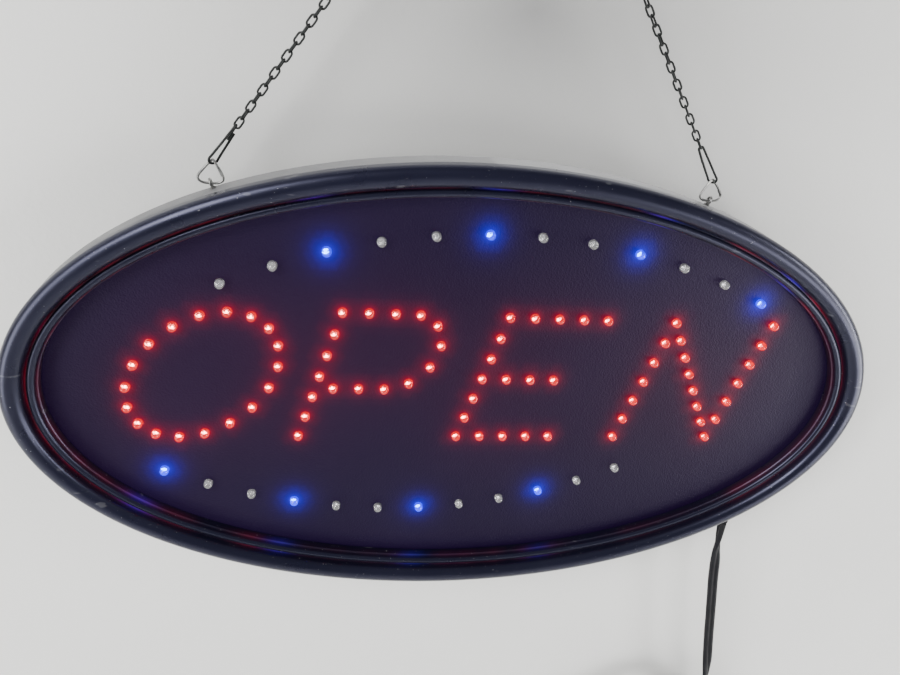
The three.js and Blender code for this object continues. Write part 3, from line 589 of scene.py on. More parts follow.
def make_tie():
    """A wrapped band round the coil with its twisted ends."""
    angle = math.radians(-8.0)
    radial = Vector((math.cos(angle), 0, math.sin(angle)))
    depth = Vector((0, 1, 0))
    centre = Vector((COIL["x"], CORD_Y, COIL["z"])) + radial * 40.5
    half = (7.3 + 0.7, 7.4 + 0.7)
    shape = Shape()
    along = radial.cross(depth)
    for shift in (-1.3, 1.2):
        loop = []
        for i in range(48):
            t = 2 * math.pi * i / 48
            c, s = math.cos(t), math.sin(t)
            a = math.copysign(abs(c) ** 0.4, c) * half[0]
            b = math.copysign(abs(s) ** 0.4, s) * half[1]
            wave = along * (shift + 0.35 * math.sin(3 * t))
            loop.append(row(*(centre + radial * a + depth * b + wave)))
        shape.add(*sweep(loop, [(a * 0.6, b * 1.9) for a, b in round_section(0.7 * MM)], closed=True,
                         normal=radial))
    for side in (-1, 1):
        line = []
        for i in range(20):
            t = i / 19
            twist = side * 0.6 * math.sin(6 * math.pi * t)
            spread = side * (0.5 + 2.2 * max(0.0, t - 0.6))
            bow = depth * (-half[1] - 0.5 - 0.9 * math.sin(3 * t))
            off = radial * (half[0] * 0.2 + spread) + along * twist + bow
            line.append(row(*(centre + off + along * (1.5 - 11.0 * t))))
        shape.add(*sweep(line, [(a * 0.6, b * 1.6) for a, b in round_section(0.6 * MM)]))
    return place(shape.make("coil_tie", [MATERIALS["tie"]]), "sign", "tie", "cord_tie")


def make_relief():
    """The ribbed rubber sleeve where the lead leaves the shell."""
    length = RELIEF["wall"] - RELIEF["foot"]
    profile = [(0.0, 8.0), (2.3, 8.0), (2.3, -0.3), (3.6, -0.4), (3.7, -0.9)]
    ribs = 6
    for i in range(ribs):
        start = 1.6 + (length - 3.0) * i / ribs
        radius = 3.55 - 0.35 * i / ribs
        groove = radius - 0.6
        profile += [(radius, -start), (radius, -start - 1.1), (groove, -start - 1.5), (groove, -start - 2.2)]
    profile += [(3.15, -length + 0.9), (3.1, -length + 0.3), (2.6, -length), (0.0, -length)]
    centre = row(RELIEF["x"], CORD_Y, RELIEF["wall"])
    verts, faces = lathe(in_metres(profile), centre, (0, 0, 1), 32)
    sleeve = mesh_object("lead_sleeve", verts, faces, [MATERIALS["cord"]])
    return place(sleeve, "sign", "cord_jacket", "strain_relief")


cord, cord_points = make_cord()
plug = make_plug()
tie = make_tie()
make_relief()


# ---- lamp layout ----


def slanted(u, z):
    return (u + SLANT * (z - LETTER_MID), z)


def stem(u):
    return [slanted(u, LETTER_MID + LETTER_HALF * (1 - 2 * i / (STEM_LAMPS - 1))) for i in range(STEM_LAMPS)]


def line_of(u, z, count):
    return [slanted(u + ROW_PITCH * (i + 1), z) for i in range(count)]


def letter_o():
    lamps = []
    for i in range(O_RING["count"]):
        angle = math.radians(O_RING["start"] - 360.0 / O_RING["count"] * i)
        rise = O_RING["half"] * math.sin(angle)
        across = O_RING["radius"] * math.cos(angle)
        lamps.append((O_RING["x"] + across + O_RING["slant"] * rise, O_RING["z"] + rise))
    return lamps


def letter_p():
    top = LETTER_MID + LETTER_HALF
    bowl = []
    for i in range(P_BOWL["count"]):
        angle = math.radians(P_BOWL["start"] - P_BOWL["step"] * i)
        across = P_BOWL["radius"] * math.cos(angle)
        bowl.append(slanted(P_BOWL["u"] + across, P_BOWL["z"] + P_BOWL["half"] * math.sin(angle)))
    foot = [slanted(P_BOWL["u"] - ROW_PITCH * i, P_BOWL["z"] - P_BOWL["half"]) for i in (1, 2)]
    return stem(P_STEM) + line_of(P_STEM, top, 2) + bowl + foot


def letter_e():
    high, low = LETTER_MID + LETTER_HALF, LETTER_MID - LETTER_HALF
    rows = line_of(E_STEM, high, 4) + line_of(E_STEM, LETTER_MID, 3) + line_of(E_STEM, low, 4)
    return stem(E_STEM) + rows


def letter_n():
    left, right = stem(N_STEM), stem(N_STEM + N_WIDTH)
    top, foot = left[0], right[-1]
    across = [(top[0] + (foot[0] - top[0]) * i / 7, top[1] + (foot[1] - top[1]) * i / 7) for i in range(1, 7)]
    return left + across + right


def border(x, z, half, radius, step):
    lamps = []
    for i in range(BORDER_COUNT):
        angle = (i - (BORDER_COUNT - 1) / 2) * step
        lamps.append((x + radius * math.sin(angle), z - half * radius * (1 - math.cos(angle))))
    return lamps


LETTERS = {"o": letter_o(), "p": letter_p(), "e": letter_e(), "n": letter_n()}
BORDERS = {
    "top": border(13.8, 96.3, 1, 350.0, 0.0793),
    "bottom": border(-34.6, -80.6, -1, 320.0, 0.0781),
}


def all_lamps():
    """Every lamp as (x, z, kind), the kind red, blue or clear."""
    lamps = [(x, z, "red") for letter in LETTERS.values() for x, z in letter]
    for side, places in BORDERS.items():
        for i, (x, z) in enumerate(places):
            lamps.append((x, z, "blue" if i in BLUE_LIT[side] else "clear"))
    return lamps


# ---- lamps ----

LAMP_FINISHES = ("red_lens", "cup", "red_core", "blue_lens", "blue_core", "clear_lens")
CUP = LAMP_FINISHES.index("cup")


def lamp_parts(shape, x, z, kind, turn):
    """One 5 mm lamp: a domed lens with its flange, and in it the cup, a post and the die, lit or dark."""
    toward = Vector((0, -1, 0))
    shoulder = LAMP_TOP + LAMP_RADIUS
    lens = [(0.0, -3.2), (2.9, -3.2), (2.9, -2.3), (2.42, -2.2), (2.4, -shoulder)]
    lens += [(LAMP_RADIUS * math.cos(a), -shoulder + LAMP_RADIUS * math.sin(a))
             for a in (math.radians(d) for d in (12, 25, 38, 51, 64, 77))]
    lens += [(0.0, -LAMP_TOP)]
    centre = row(x, 0, z)
    lens_slot = LAMP_FINISHES.index(kind + "_lens")
    shape.add(*lathe(in_metres(lens), centre, toward, 20), slot=lens_slot)
    across = Vector((math.cos(turn), 0, math.sin(turn))) * MM
    cup = [(0.0, -1.4), (0.55, -1.4), (0.95, 0.9), (0.82, 0.9), (0.45, 0.2), (0.0, 0.15)]
    shape.add(*lathe(in_metres(cup), centre - across * 0.25, toward, 12), slot=CUP)
    post = [(0.0, -1.4), (0.32, -1.4), (0.36, 0.7), (0.0, 0.95)]
    shape.add(*lathe(in_metres(post), centre + across * 1.25, toward, 8), slot=CUP)
    if kind == "clear":
        die = [(0.0, 0.2), (0.3, 0.2), (0.28, 0.42), (0.0, 0.45)]
        shape.add(*lathe(in_metres(die), centre - across * 0.25, toward, 8), slot=CUP)
        return
    size = 0.24 if kind == "red" else 0.4
    core = [(0.0, 0.75 - size * 0.8)]
    for angle in (math.radians(degrees) for degrees in range(-60, 90, 30)):
        core.append((size * math.cos(angle), 0.75 + size * 0.8 * math.sin(angle)))
    core.append((0.0, 0.75 + size * 0.8))
    core_slot = LAMP_FINISHES.index(kind + "_core")
    core_centre = centre - across * 0.2 - Vector((0, 0, 0.35)) * MM
    shape.add(*lathe(in_metres(core), core_centre, toward, 12), slot=core_slot)


def make_lamps(name, places, kinds, node):
    shape = Shape()
    for (x, z), kind in zip(places, kinds):
        lamp_parts(shape, x, z, kind, random.uniform(-0.5, 0.5) + 0.3)
    finishes = [MATERIALS[key] for key in LAMP_FINISHES]
    slot_name = "red_lamps" if "letter" in name else "blue_lamps"
    return place(shape.make(name, finishes, sharp=35.0), "sign", slot_name, node)


random.seed(7)
for letter, places in LETTERS.items():
    make_lamps("lamps_letter_" + letter, places, ["red"] * len(places), "leds_letter_" + letter)
for side, places in BORDERS.items():
    kinds = ["blue" if i in BLUE_LIT[side] else "clear" for i in range(len(places))]
    make_lamps("lamps_border_" + side, places, kinds, "leds_border_" + side)


# ---- bezel, panel and shell ----


def bezel_profile():
    points = [(0.0, BEZEL_BACK), (0.0, -8.4)]
    points += arc((5.5, -9.0), (5.5, 4.5), 180, 360, 22)
    points += [(11.15, -7.7), (11.4, -6.9), (11.8, -6.6), (12.15, -6.7)]
    points += arc((14.4, -6.7), (2.1, 1.8), 180, 350, 14)
    points += [(16.55, -5.9), (16.75, -5.2), (17.1, -4.75), (17.35, -4.6), (17.4, -4.2)]
    points += [(17.4, -0.3), (2.6, -0.3), (2.6, BEZEL_BACK)]
    return points


def make_bezel():
    verts, faces = oval_ring(bezel_profile())
    bezel = mesh_object("bezel_ring", verts, faces, [MATERIALS["bezel"]], sharp=50.0)
    paint_lamp_reflections(bezel)
    return place(bezel, "sign", "bezel", "front_frame")


def inset_at(x, z):
    """How far inside the oval's edge a point lies, measured the way the profiles are."""
    low, high = -0.5, 18.0
    for _ in range(18):
        middle = (low + high) / 2
        if (x / (HALF_WIDTH - middle)) ** 2 + (z / (HALF_HEIGHT - middle)) ** 2 < 1:
            low = middle
        else:
            high = middle
    return low


def paint_lamp_reflections(bezel):
    """Painted reflections of the lit lamps: short streaks of their light along the two grooves, opposite each
    lit lamp, held in the mesh's glow colour.
    """
    lit = [(x, z, kind) for x, z, kind in all_lamps() if kind != "clear"]
    centres = np.array([(x, z) for x, z, _ in lit])
    tints = np.array([(0.5, 0.0, 0.03) if kind == "red" else (0.03, 0.0, 1.0) for _, _, kind in lit])
    width = np.array([4.5 if kind == "red" else 7.0 for _, _, kind in lit])
    mesh = bezel.data
    layer = mesh.color_attributes.new("glow", "FLOAT_COLOR", "POINT")
    values = np.zeros((len(mesh.vertices), 4), np.float32)
    values[:, 3] = 1.0
    for i, vertex in enumerate(mesh.vertices):
        x, y, z = (vertex.co / MM) - SIGN
        inset = inset_at(x, z)
        angle = math.atan2(z / (HALF_HEIGHT - inset), x / (HALF_WIDTH - inset))
        groove = math.exp(-(((inset - 11.75) / 0.45) ** 2))
        groove += 0.7 * math.exp(-(((inset - 17.0) / 0.4) ** 2))
        if y > -4.0 or groove < 0.02:
            continue
        along = Vector((-HALF_WIDTH * math.sin(angle), HALF_HEIGHT * math.cos(angle))).normalized()
        gap = centres - np.array((x, z))
        beside = gap @ np.array(along)
        away = np.hypot(*gap.T)
        power = np.exp(-((beside / width) ** 2)) / (1 + (away / 26.0) ** 2)
        values[i, :3] = (tints * power[:, None]).sum(0) * groove * 0.7
    layer.data.foreach_set("color", values.ravel())


def make_panel():
    """The flat panel with a hole for each lamp, finely divided so that its painted glow colour can vary."""
    lamps = all_lamps()
    centres = np.array([(x, z) for x, z, _ in lamps])
    a, b = HALF_WIDTH - 2.6, HALF_HEIGHT - 2.6
    points, edges = [], []
    rim = 240
    for i in range(rim):
        angle = 2 * math.pi * i / rim
        points.append((a * math.cos(angle), b * math.sin(angle)))
        edges.append((i, (i + 1) % rim))
    for x, z, _ in lamps:
        start, sides = len(points), 20
        for i in range(sides):
            angle = 2 * math.pi * i / sides
            points.append((x + LAMP_HOLE * math.cos(angle), z + LAMP_HOLE * math.sin(angle)))
            edges.append((start + i, start + (i + 1) % sides))
    for index, (x, z, _) in enumerate(lamps):
        for radius, sides in ((3.3, 16), (4.4, 16), (6.0, 16)):
            for i in range(sides):
                angle = 2 * math.pi * (i + 0.5) / sides
                spot = np.array((x + radius * math.cos(angle), z + radius * math.sin(angle)))
                gaps = np.hypot(*(centres - spot).T)
                gaps[index] = 1e9
                if gaps.min() > radius + 0.4:
                    points.append(tuple(spot))
    step = 4.5
    for i in range(int(-a / step), int(a / step) + 1):
        for j in range(int(-b / step), int(b / step) + 1):
            x, z = (i + 0.5 * (j % 2)) * step, j * step
            inside = (x / (a - 3)) ** 2 + (z / (b - 3)) ** 2 < 1
            if inside and np.hypot(centres[:, 0] - x, centres[:, 1] - z).min() > 7.6:
                points.append((x, z))
    flat, _, found, _, _, _ = delaunay_2d_cdt([Vector(p) for p in points], edges, [], 1, 1e-4)
    flat = np.array([(p.x, p.y) for p in flat])
    kept = []
    for face in found:
        middle = flat[list(face)].mean(0)
        if np.hypot(*(centres - middle).T).min() > LAMP_HOLE * 0.97:
            kept.append(list(face))
    count = len(flat)
    verts = [row(x, 0.0, z) for x, z in flat] + [row(x, PANEL_THICK, z) for x, z in flat]
    faces = kept + [[i + count for i in face[::-1]] for face in kept]
    used = [edge for face in kept for edge in zip(face, face[1:] + face[:1])]
    known = set(used)
    for i, j in used:
        if (j, i) not in known:
            faces.append([j, i, i + count, j + count])
    panel = mesh_object("face_plate", verts, faces, [MATERIALS["panel"]])
    paint_glow(panel, lamps, centres)
    return place(panel, "sign", "panel", "face_panel")


# Each kind of lamp's painted light on the panel: colour, strength and reach in millimetres.
GLOWS = {
    "red": ((1.0, 0.0, 0.012), 0.34, 2.0),
    "blue": ((0.0, 0.0, 1.0), 0.75, 3.4),
    "clear": ((0.0, 0.0, 0.0), 0.0, 1.0),
}
# A faint painted purple-blue glow over the whole panel, and a faint wide painted spill of each lamp's light.
AMBIENT_GLOW = np.array((0.0035, 0.0, 0.012))
SPILL, SPILL_REACH = 0.012, 16.0


def paint_glow(panel, lamps, centres):
    # Painted light: a halo of each lamp's light round it, a faint wide painted spill, and a faint painted
    # purple-blue glow over the whole panel.
    mesh = panel.data
    layer = mesh.color_attributes.new("glow", "FLOAT_COLOR", "POINT")
    tints = np.array([np.array(GLOWS[kind][0]) * GLOWS[kind][1] for _, _, kind in lamps])
    reach = np.array([GLOWS[kind][2] for _, _, kind in lamps])
    values = np.ones((len(mesh.vertices), 4), np.float32)
    for i, vertex in enumerate(mesh.vertices):
        x, z = vertex.co.x / MM - SIGN.x, vertex.co.z / MM - SIGN.z
        away = np.maximum(np.hypot(centres[:, 0] - x, centres[:, 1] - z) - LAMP_RADIUS, 0.0)
        halo = np.exp(-away / reach) + SPILL * np.exp(-away / SPILL_REACH)
        values[i, :3] = (tints * halo[:, None]).sum(0) + AMBIENT_GLOW
    layer.data.foreach_set("color", values.ravel())


def cylinder_cutter(start, end, radius, sides=20):
    verts, faces = sweep([start, end], round_section(radius * MM, sides))
    return mesh_object("cutter", verts, faces, [])


def block_cutter(centre, x_axis, y_axis, half):
    z_axis = Vector(x_axis).cross(Vector(y_axis))
    verts = []
    for sx in (-1, 1):
        for sy in (-1, 1):
            for sz in (-1, 1):
                across = Vector(x_axis) * half[0] * sx
                verts.append(centre + across + Vector(y_axis) * half[1] * sy + z_axis * half[2] * sz)
    faces = [[0, 1, 3, 2], [4, 6, 7, 5], [0, 4, 5, 1], [2, 3, 7, 6], [0, 2, 6, 4], [1, 5, 7, 3]]
    return mesh_object("cutter", [row(*v) for v in verts], faces, [])


def outline_at(x, half):
    return Vector((x, 0, half * HALF_HEIGHT * math.sqrt(1 - (x / HALF_WIDTH) ** 2)))


def normal_at(point):
    return Vector((point.x / HALF_WIDTH ** 2, 0, point.z / HALF_HEIGHT ** 2)).normalized()


SCREW_ANGLES = [(i + 0.5) * math.pi / 4 for i in range(8)]
SCREW_INSET = 9
SHELL_SCREWS = [
    ((HALF_WIDTH - SCREW_INSET) * math.cos(angle), (HALF_HEIGHT - SCREW_INSET) * math.sin(angle))
    for angle in SCREW_ANGLES
]
BOX_SCREWS = [
    (BOX["x"] + sx * (BOX["width"] / 2 - 6), BOX["z"] + sz * (BOX["height"] / 2 - 6))
    for sx, sz in ((-1, -1), (-1, 1), (1, -1), (1, 1))
]


def make_shell():
    """The pale housing: a side wall that turns in to a flat back, with its pockets and holes."""
    back = SHELL_BACK
    side = [(2.2, BEZEL_BACK + 0.3), (0.1, BEZEL_BACK + 0.3), (0.1, 6.6)]
    side += [(2.7 + a, 7.4 + b) for a, b in arc((0, 0), (2.6, 2.6), 180, 90, 8)]
    side += [(5.0, back), (30.0, back), (80.0, back)]
    inner = [(80.0, back - 2.5), (2.2, back - 2.5)]
    steps = 240
    verts, faces = oval_ring(side + inner, steps)
    per = len(side + inner)
    outer_last, inner_first = len(side) - 1, len(side)
    faces = [f for f in faces if not ({outer_last, inner_first} <= {i % per for i in f})]
    start = len(verts)
    verts += [row(0, back, 0), row(0, back - 2.5, 0)]
    for i in range(steps):
        after = (i + 1) % steps
        faces.append([i * per + outer_last, after * per + outer_last, start])
        faces.append([after * per + inner_first, i * per + inner_first, start + 1])
    shell = mesh_object("housing_shell", verts, faces, [MATERIALS["housing"]])
    cutters = []
    for x, z in SHELL_SCREWS:
        cutters.append(cylinder_cutter(row(x, back - 1.8, z), row(x, back + 2, z), 3.2))
    for x in SWITCHES.values():
        wall = outline_at(x, -1)
        normal = normal_at(wall)
        centre = wall + normal * -1.0 + Vector((0, CORD_Y, 0))
        across = Vector((normal.z, 0, -normal.x))
        cutters.append(block_cutter(centre, across, Vector((0, 1, 0)), (5.8, 2.5, 4.0)))
    cutters.append(cylinder_cutter(row(RELIEF["x"], CORD_Y, -76), row(RELIEF["x"], CORD_Y, -88), 2.6))
    for x in EYES.values():
        wall = outline_at(x, 1)
        normal = normal_at(wall)
        shift = Vector((0, -SIGN.y, 0))
        inside = row(*(wall - normal * 5 + shift))
        outside = row(*(wall + normal * 2 + shift))
        cutters.append(cylinder_cutter(inside, outside, 1.0, 16))
    subtract(shell, cutters)
    return place(shell, "sign", "housing", "rear_shell")


def make_power_box():
    """The shallow lid on the back: rounded in plan, its back edge turned over, with four screw pockets."""
    loops = [(0.0, 0.0), (0.0, 9.6), (0.25, 11.4), (0.9, 12.8), (1.9, 13.6), (3.2, 14.0)]
    corner, per_corner = 8.0, 10
    half_x, half_z = BOX["width"] / 2, BOX["height"] / 2
    verts = []
    for inset, depth in loops:
        for quarter, (sx, sz) in enumerate(((1, 1), (-1, 1), (-1, -1), (1, -1))):
            for i in range(per_corner + 1):
                angle = math.pi / 2 * (quarter + i / per_corner)
                radius = corner - inset
                x = sx * (half_x - corner) + radius * math.cos(angle)
                z = sz * (half_z - corner) + radius * math.sin(angle)
                verts.append(row(BOX["x"] + x, BOX["front"] + depth, BOX["z"] + z))
    sides = 4 * (per_corner + 1)
    faces = grid_faces(len(loops), sides) + end_caps(len(loops), sides)
    lid = mesh_object("power_box_lid", verts, faces, [MATERIALS["housing"]])
    cutters = []
    for x, z in BOX_SCREWS:
        cutters.append(cylinder_cutter(row(x, BOX["front"] + 4.3, z), row(x, BOX["front"] + 16, z), 3.2))
    subtract(lid, cutters)
    return place(lid, "sign", "housing", "power_box")


def make_screws(prefix, places, head_depth, node_prefix):
    """Pan-head screws with a cross recess, facing the wall."""
    profile = [(0.0, -7.9), (0.7, -7.3), (1.25, -6.6), (1.3, -1.2), (2.75, -1.2), (2.8, -0.9), (2.6, -0.45),
               (2.1, -0.15), (1.3, 0.0), (0.0, 0.0)]
    for number, (x, z) in enumerate(places, 1):
        centre = row(x, head_depth, z)
        verts, faces = lathe(in_metres(profile), centre, (0, 1, 0), 28)
        screw = mesh_object(prefix + str(number), verts, faces, [MATERIALS["screws"]])
        turn = 0.7 * number
        cutters = []
        for quarter in (0.0, math.pi / 2):
            angle = turn + quarter
            axis = Vector((math.cos(angle), 0, math.sin(angle)))
            cutters.append(block_cutter(Vector((x, head_depth, z)), axis, Vector((0, 1, 0)), (1.5, 0.75, 0.3)))
        subtract(screw, cutters)
        place(screw, "sign", "screws", node_prefix + str(number))


make_bezel()
make_panel()
make_shell()
make_power_box()
make_screws("shell_screw_head_", SHELL_SCREWS, SHELL_BACK - 0.3, "shell_screw_")
make_screws("box_screw_head_", BOX_SCREWS, BOX["front"] + 5.5, "box_screw_")


# ---- switches ----


def switch_frame(x):
    """Where a switch sits: a turn with x along the wall, y in depth and z outward, and its origin."""
    wall = outline_at(x, -1)
    normal = normal_at(wall)
    across = Vector((normal.z, 0, -normal.x))
    origin = wall + Vector((0, CORD_Y, 0))
    return Matrix((across, Vector((0, 1, 0)), normal)).transposed().to_4x4(), origin


def switch_points(x, points):
    turn, origin = switch_frame(x)
    return [row(*(turn @ Vector(p) + origin)) for p in points]


def open_tray(outer, inner, top, bottom, floor):
    """Points and faces of a block with a square pocket in its top."""
    points = []
    for half, height in ((outer, bottom), (outer, top), (inner, top), (inner, floor)):
        corners = ((-1, -1), (1, -1), (1, 1), (-1, 1))
        points += [(sx * half[0], sy * half[1], height) for sx, sy in corners]
    return points, grid_faces(4, 4) + [[3, 2, 1, 0], [12, 13, 14, 15]]


def make_switch(name, x):
    shape = Shape()
    for outer, inner, top, bottom, floor in (
        ((7.0, 3.0), (5.1, 1.8), 1.4, 0.4, 0.38),
        ((5.5, 2.2), (5.1, 1.8), 0.42, -11.0, -4.0),
    ):
        points, faces = open_tray(outer, inner, top, bottom, floor)
        if bottom > 0:
            faces = faces[:-2]
            faces += [[(3 * 4) + (i + 1) % 4, 3 * 4 + i, i, (i + 1) % 4] for i in range(4)]
        shape.add(switch_points(x, points), faces)
    body = shape.make(name + "_switch_case", [MATERIALS["switch"]])
    soften(body, 0.25 * MM)
    place(body, "sign", "switch_plastic", name + "_switch")
    tilt, pivot = math.radians(9.0), -1.0
    section = [(-4.3, -1.6), (4.3, -1.6), (4.3, 1.9)]
    section += [(4.3 - 8.6 * i / 16, 1.1 + 0.8 * (1 - 2 * i / 16) ** 2) for i in range(1, 16)]
    section += [(-4.3, 1.9)]
    points = []
    for depth in (-1.5, 1.5):
        for a, b in section:
            turned_a = a * math.cos(tilt) + b * math.sin(tilt)
            turned_b = -a * math.sin(tilt) + b * math.cos(tilt)
            points.append((turned_a, depth, turned_b + pivot))
    sides = len(section)
    faces = grid_faces(2, sides) + end_caps(2, sides)
    key = mesh_object(name + "_rocker_key", switch_points(x, points), faces, [MATERIALS["switch"]])
    soften(key, 0.2 * MM)
    place(key, name + "_rocker", "switch_plastic", name + "_rocker")


for switch_name, switch_x in SWITCHES.items():
    make_switch(switch_name, switch_x)


# ---- hanging wires ----


def hanging_side(eye_x):
    """Points and directions of one side of the V, in the row frame and in millimetres."""
    wall = outline_at(eye_x, 1)
    normal = normal_at(wall)
    shift = Vector((SIGN.x, 0, SIGN.z))
    eye = wall + normal * EYE_STAND + shift
    lean = math.copysign(DROP_LEAN, -eye.x)
    apex = eye + Vector((lean, 0, DROP_HEIGHT))
    ring = Vector((0, 0, 0.8 - NAIL_RING))
    up = (ring - apex).normalized()
    foot = ring - up * (NAIL_RING + TOP_LINK_LENGTH)
    return {"normal": normal, "eye": eye, "lean": lean, "apex": apex, "up": up, "foot": foot}


def stadium(radius, length, steps):
    """A loop of two half turns joined by straights, length apart, as (across, along) points."""
    arc_steps = steps // 3
    points = []
    for i in range(arc_steps + 1):
        angle = math.pi * i / arc_steps
        points.append((radius * math.cos(angle), length / 2 + radius * math.sin(angle)))
    side_steps = max(2, steps // 6)
    for i in range(1, side_steps):
        points.append((-radius, length / 2 - length * i / side_steps))
    for i in range(arc_steps + 1):
        angle = math.pi + math.pi * i / arc_steps
        points.append((radius * math.cos(angle), -length / 2 + radius * math.sin(angle)))
    for i in range(1, side_steps):
        points.append((radius, -length / 2 + length * i / side_steps))
    return points


def link_loop(shape, centre, up, turn, radius, length, wire, steps=24, sides=8):
    across = Quaternion(up, math.radians(turn)) @ Vector((0, 1, 0))
    across = (across - up * across.dot(up)).normalized()
    line = [(centre + across * a + up * b) * MM for a, b in stadium(radius, length, steps)]
    shape.add(*sweep(line, round_section(wire * MM, sides), closed=True, normal=across.cross(up)))


def place_wire(shape, name, label, finish, body, slot_name, node):
    """Makes one side's wire piece and places it for that side's node."""
    place(shape.make(name + label, [MATERIALS[finish]], WIRE_SHARP), body, slot_name, node + label)


def make_top_link(label, side):
    shape = Shape()
    middle = side["foot"] + side["up"] * (TOP_LINK_LENGTH / 2)
    link_loop(shape, middle, side["up"], 0, 1.9, TOP_LINK_LENGTH, 0.6, 36, 14)
    place_wire(shape, "top_loop_", label, "black_chain", "yoke", "black_chain", "top_link_")


def make_chain(label, side):
    """Interlocked oval links, each a quarter turn from the last, with a slow twist from snap to loop."""
    shape = Shape()
    up = side["up"]
    start = side["apex"] + up * (CONNECTOR_LENGTH + 0.55)
    end = side["foot"] - up * CHAIN_END
    count = round(((end - start).length - 0.6) / LINK_PITCH)
    pitch = (end - start).length / count
    first = math.copysign(SNAP_TURN, side["apex"].x) + SNAP_TWIST + 90.0
    slow = (90.0 - first - 90.0 * (count - 1) + 90.0) % 180.0 - 90.0
    for i in range(count):
        centre = start + up * pitch * (i + 0.5)
        turn = first + 90.0 * i + slow * i / (count - 1)
        link_loop(shape, centre, up, turn, LINK_RADIUS, pitch - LINK_LAP, LINK_WIRE, 20, 8)
    place_wire(shape, "link_chain_", label, "black_chain", "chains", "black_chain", "chain_")


def make_connector(label, side):
    """A wire snap: a long drop of wire, wide at the ring, whose ends lie side by side and twist a little."""
    up = side["up"]
    turn = math.copysign(SNAP_TURN, side["apex"].x)
    low, high, wide, narrow = -1.7, CONNECTOR_LENGTH + 1.2, 2.3, 1.15
    loop = [(x, z + low + wide) for x, z in arc((0, 0), (wide, wide), -200, 20, 22)]
    crown = [(x, z + high - narrow) for x, z in arc((0, 0), (narrow, narrow), 0, 180, 12)]
    rise = [tuple(Vector(loop[-1]).lerp(Vector(crown[0]), i / 12)) for i in range(1, 12)]
    fall = [tuple(Vector(crown[-1]).lerp(Vector(loop[0]), i / 12)) for i in range(1, 13)]
    flat = rise[6:] + crown + fall + loop + rise[:10]
    line = []
    total = len(flat)
    for i, (a, b) in enumerate(flat):
        across = Quaternion(up, math.radians(turn + SNAP_TWIST * b / CONNECTOR_LENGTH)) @ Vector((0, 1, 0))
        across = (across - up * across.dot(up)).normalized()
        slide = 0.66 * (2.0 * i / total - 1.0)
        line.append((side["apex"] + across * a + up * b + across.cross(up) * slide) * MM)
    shape = Shape()
    shape.add(*sweep(line, round_section(0.6 * MM, 12)))
    place_wire(shape, "wire_snap_", label, "black_chain", "chains", "black_chain", "connector_")


def make_drop_ring(label, side):
    """A pear of thin steel wire whose ends lap over each other at its side."""
    lean = side["lean"]
    corners = [(0, -0.3), (3.6, 0), (5.6, 1.4), (5.4, 3.6), (3.1 + lean * 0.5, 7.2), (lean + 0.9, 10.3),
               (lean, DROP_HEIGHT + 0.2), (lean - 0.9, 10.3), (-3.1 + lean * 0.5, 7.2), (-5.4, 3.6), (-5.6, 1.4),
               (-3.6, 0)]
    corners = corners[3:] + corners[:3]
    lap = corners + corners[:2]
    flat = smooth_line([Vector((x, 0, z)) for x, z in lap], 8)
    flat = flat[: len(corners) * 8 + (9 if label == "left" else 5)]
    line = []
    for i, point in enumerate(flat):
        t = i / len(flat)
        offset = Vector((0, 1.4 * (t - 0.5) * abs(2 * t - 1), 0))
        line.append((side["eye"] + point + offset) * MM)
    shape = Shape()
    shape.add(*sweep(line, round_section(0.62 * MM, 12)))
    place_wire(shape, "pear_ring_", label, "steel", "chains", "steel_wire", "drop_ring_")


def make_eye(label, side):
    """A screw eye: a bent loop on a shank that goes through the shell's wall."""
    normal, eye = side["normal"], side["eye"]
    line = []
    for i in range(31):
        angle = math.radians(-90.0 + 335.0 * i / 30)
        line.append(eye + Vector((0, 1, 0)) * (1.7 * math.cos(angle)) + normal * (1.7 * math.sin(angle)))
    shank = [eye - normal * (EYE_STAND + 6 - 0.9 * i) for i in range(7)]
    shape = Shape()
    points = [p * MM for p in shank + line]
    shape.add(*sweep(points, round_section(0.58 * MM, 12)))
    collar = [(0.0, -0.1), (1.6, -0.1), (1.7, 0.2), (1.1, 0.7), (0.0, 0.8)]
    base = (eye - normal * EYE_STAND) * MM
    shape.add(*lathe(in_metres(collar), base, normal, 20))
    place_wire(shape, "eye_wire_", label, "steel", "sign", "steel_wire", "screw_eye_")


def make_nail_ring():
    centre = Vector((0, 0, 0.8 - NAIL_RING))
    line = []
    for i in range(64):
        angle = 2 * math.pi * i / 64
        line.append((centre + Vector((math.cos(angle), 0, math.sin(angle))) * NAIL_RING) * MM)
    verts, faces = sweep(line, round_section(0.8 * MM, 14), closed=True, normal=(0, 1, 0))
    ring = mesh_object("nail_loop", verts, faces, [MATERIALS["black_chain"]], sharp=WIRE_SHARP)
    return place(ring, "ring", "black_chain", "hanging_ring")


make_nail_ring()
for side_label, eye_x in EYES.items():
    hanging = hanging_side(eye_x)
    make_top_link(side_label, hanging)
    make_chain(side_label, hanging)
    make_connector(side_label, hanging)
    make_drop_ring(side_label, hanging)
    make_eye(side_label, hanging)


# ---- stage ----


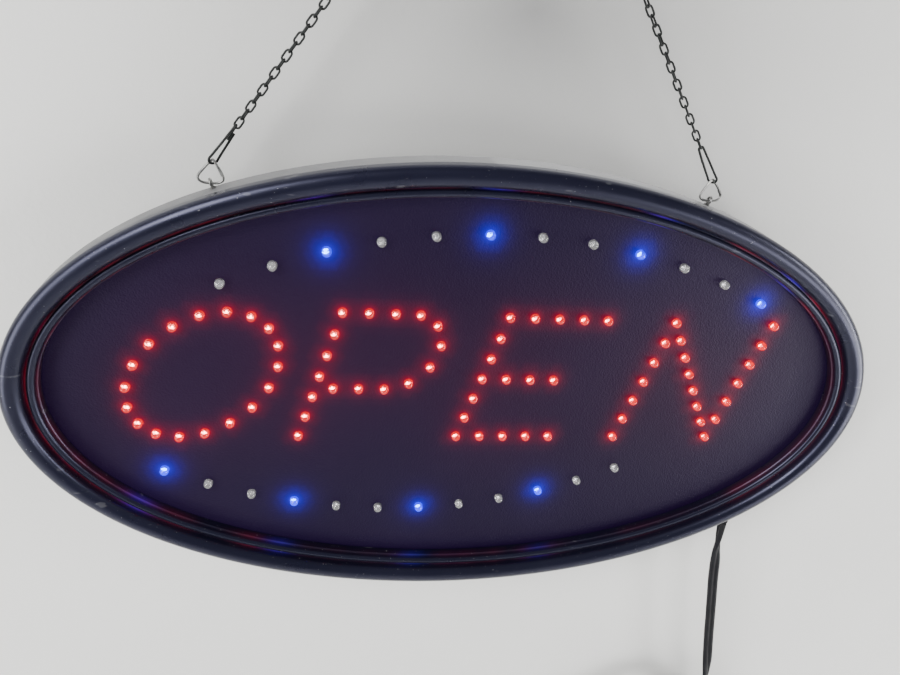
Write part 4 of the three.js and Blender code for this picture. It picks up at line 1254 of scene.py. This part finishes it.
def wall_material():
    """Pale painted wall with a broad painted shadow above the sign, seen from its front only, so the sign's back
    shows in views from behind.
    """
    made = moulded("wall_paint", (0.78, 0.78, 0.765), (0.82, 0.82, 0.805), 0.75, 3.0, 0.05, tone_scale=3.0)
    tree = made.node_tree
    shader = tree.nodes["Principled BSDF"]
    paint = shader.inputs["Base Color"].links[0].from_socket
    # Painted shadow: the wall darkens towards a spot above the sign.
    where = add_node(tree, "ShaderNodeTexCoord").outputs["Object"]
    inputs = {"Vector": where, "Location": (-0.06, 0.0, 0.4), "Scale": (2.8, 0.0, 3.6)}
    moved = add_node(tree, "ShaderNodeMapping", inputs).outputs["Vector"]
    gradient = add_node(tree, "ShaderNodeTexGradient", {"Vector": moved}, gradient_type="QUADRATIC_SPHERE")
    painted_shadow = remap(tree, gradient.outputs["Fac"], 0.0, 1.0, 0.0, 1.0)
    shadowed_paint = mix_colour(tree, painted_shadow, paint, (0.26, 0.26, 0.26, 1.0))
    tree.links.new(shadowed_paint, shader.inputs["Base Color"])
    output = tree.nodes["Material Output"]
    clear = add_node(tree, "ShaderNodeBsdfTransparent")
    behind = add_node(tree, "ShaderNodeNewGeometry").outputs["Backfacing"]
    mixed = add_node(tree, "ShaderNodeMixShader", {0: behind, 1: shader.outputs[0], 2: clear.outputs[0]})
    tree.links.new(mixed.outputs[0], output.inputs["Surface"])
    return made


def make_stage():
    back, floor_level, wall_top = 0.0197, -1.0, 1.6
    reach = 2.5
    corners = [(-reach, floor_level), (reach, floor_level), (reach, wall_top), (-reach, wall_top)]
    wall = mesh_object("wall", [(x, back, z) for x, z in corners], [[0, 1, 2, 3]], [wall_material()])
    for polygon in wall.data.polygons:
        if polygon.normal.y > 0:
            wall.data.flip_normals()
    wall.visible_shadow = False
    paint = moulded("floor_paint", (0.6, 0.6, 0.58), (0.64, 0.64, 0.62), 0.7, 3.0, 0.05, tone_scale=3.0)
    far = 7.0
    corners = [(-far, -far), (far, -far), (far, far), (-far, far)]
    floor = mesh_object("floor", [(x, y, floor_level) for x, y in corners], [[0, 1, 2, 3]], [paint])


def add_area(name, place_at, aim, size, power, colour):
    data = bpy.data.lights.new(name, "AREA")
    data.shape = "RECTANGLE"
    data.size, data.size_y = size
    data.energy = power
    data.color = colour
    light = bpy.data.objects.new(name, data)
    bpy.context.scene.collection.objects.link(light)
    light.location = place_at
    light.rotation_mode = "QUATERNION"
    light.rotation_quaternion = (Vector(aim) - Vector(place_at)).to_track_quat("-Z", "Y")


def make_lights():
    world = bpy.data.worlds.new("world")
    bpy.context.scene.world = world
    world.use_nodes = True
    background = world.node_tree.nodes["Background"]
    background.inputs["Color"].default_value = (0.78, 0.79, 0.82, 1.0)
    background.inputs["Strength"].default_value = 0.35
    aim = (0.0, 0.0, -0.3)
    add_area("key", (-1.2, -1.3, 0.9), aim, (0.9, 0.9), 46.0, (1.0, 0.99, 0.97))
    add_area("low", (1.1, -1.0, -0.9), aim, (0.8, 0.8), 17.0, (1.0, 0.99, 0.98))
    add_area("side", (-1.3, -0.8, -0.4), aim, (0.5, 1.8), 24.0, (1.0, 1.0, 1.0))
    add_area("edge", (1.3, -0.5, -0.3), aim, (0.2, 1.0), 12.0, (1.0, 1.0, 1.0))
    add_area("rear", (0.6, 1.4, 0.6), aim, (1.2, 1.2), 40.0, (1.0, 1.0, 1.0))


make_stage()
make_lights()
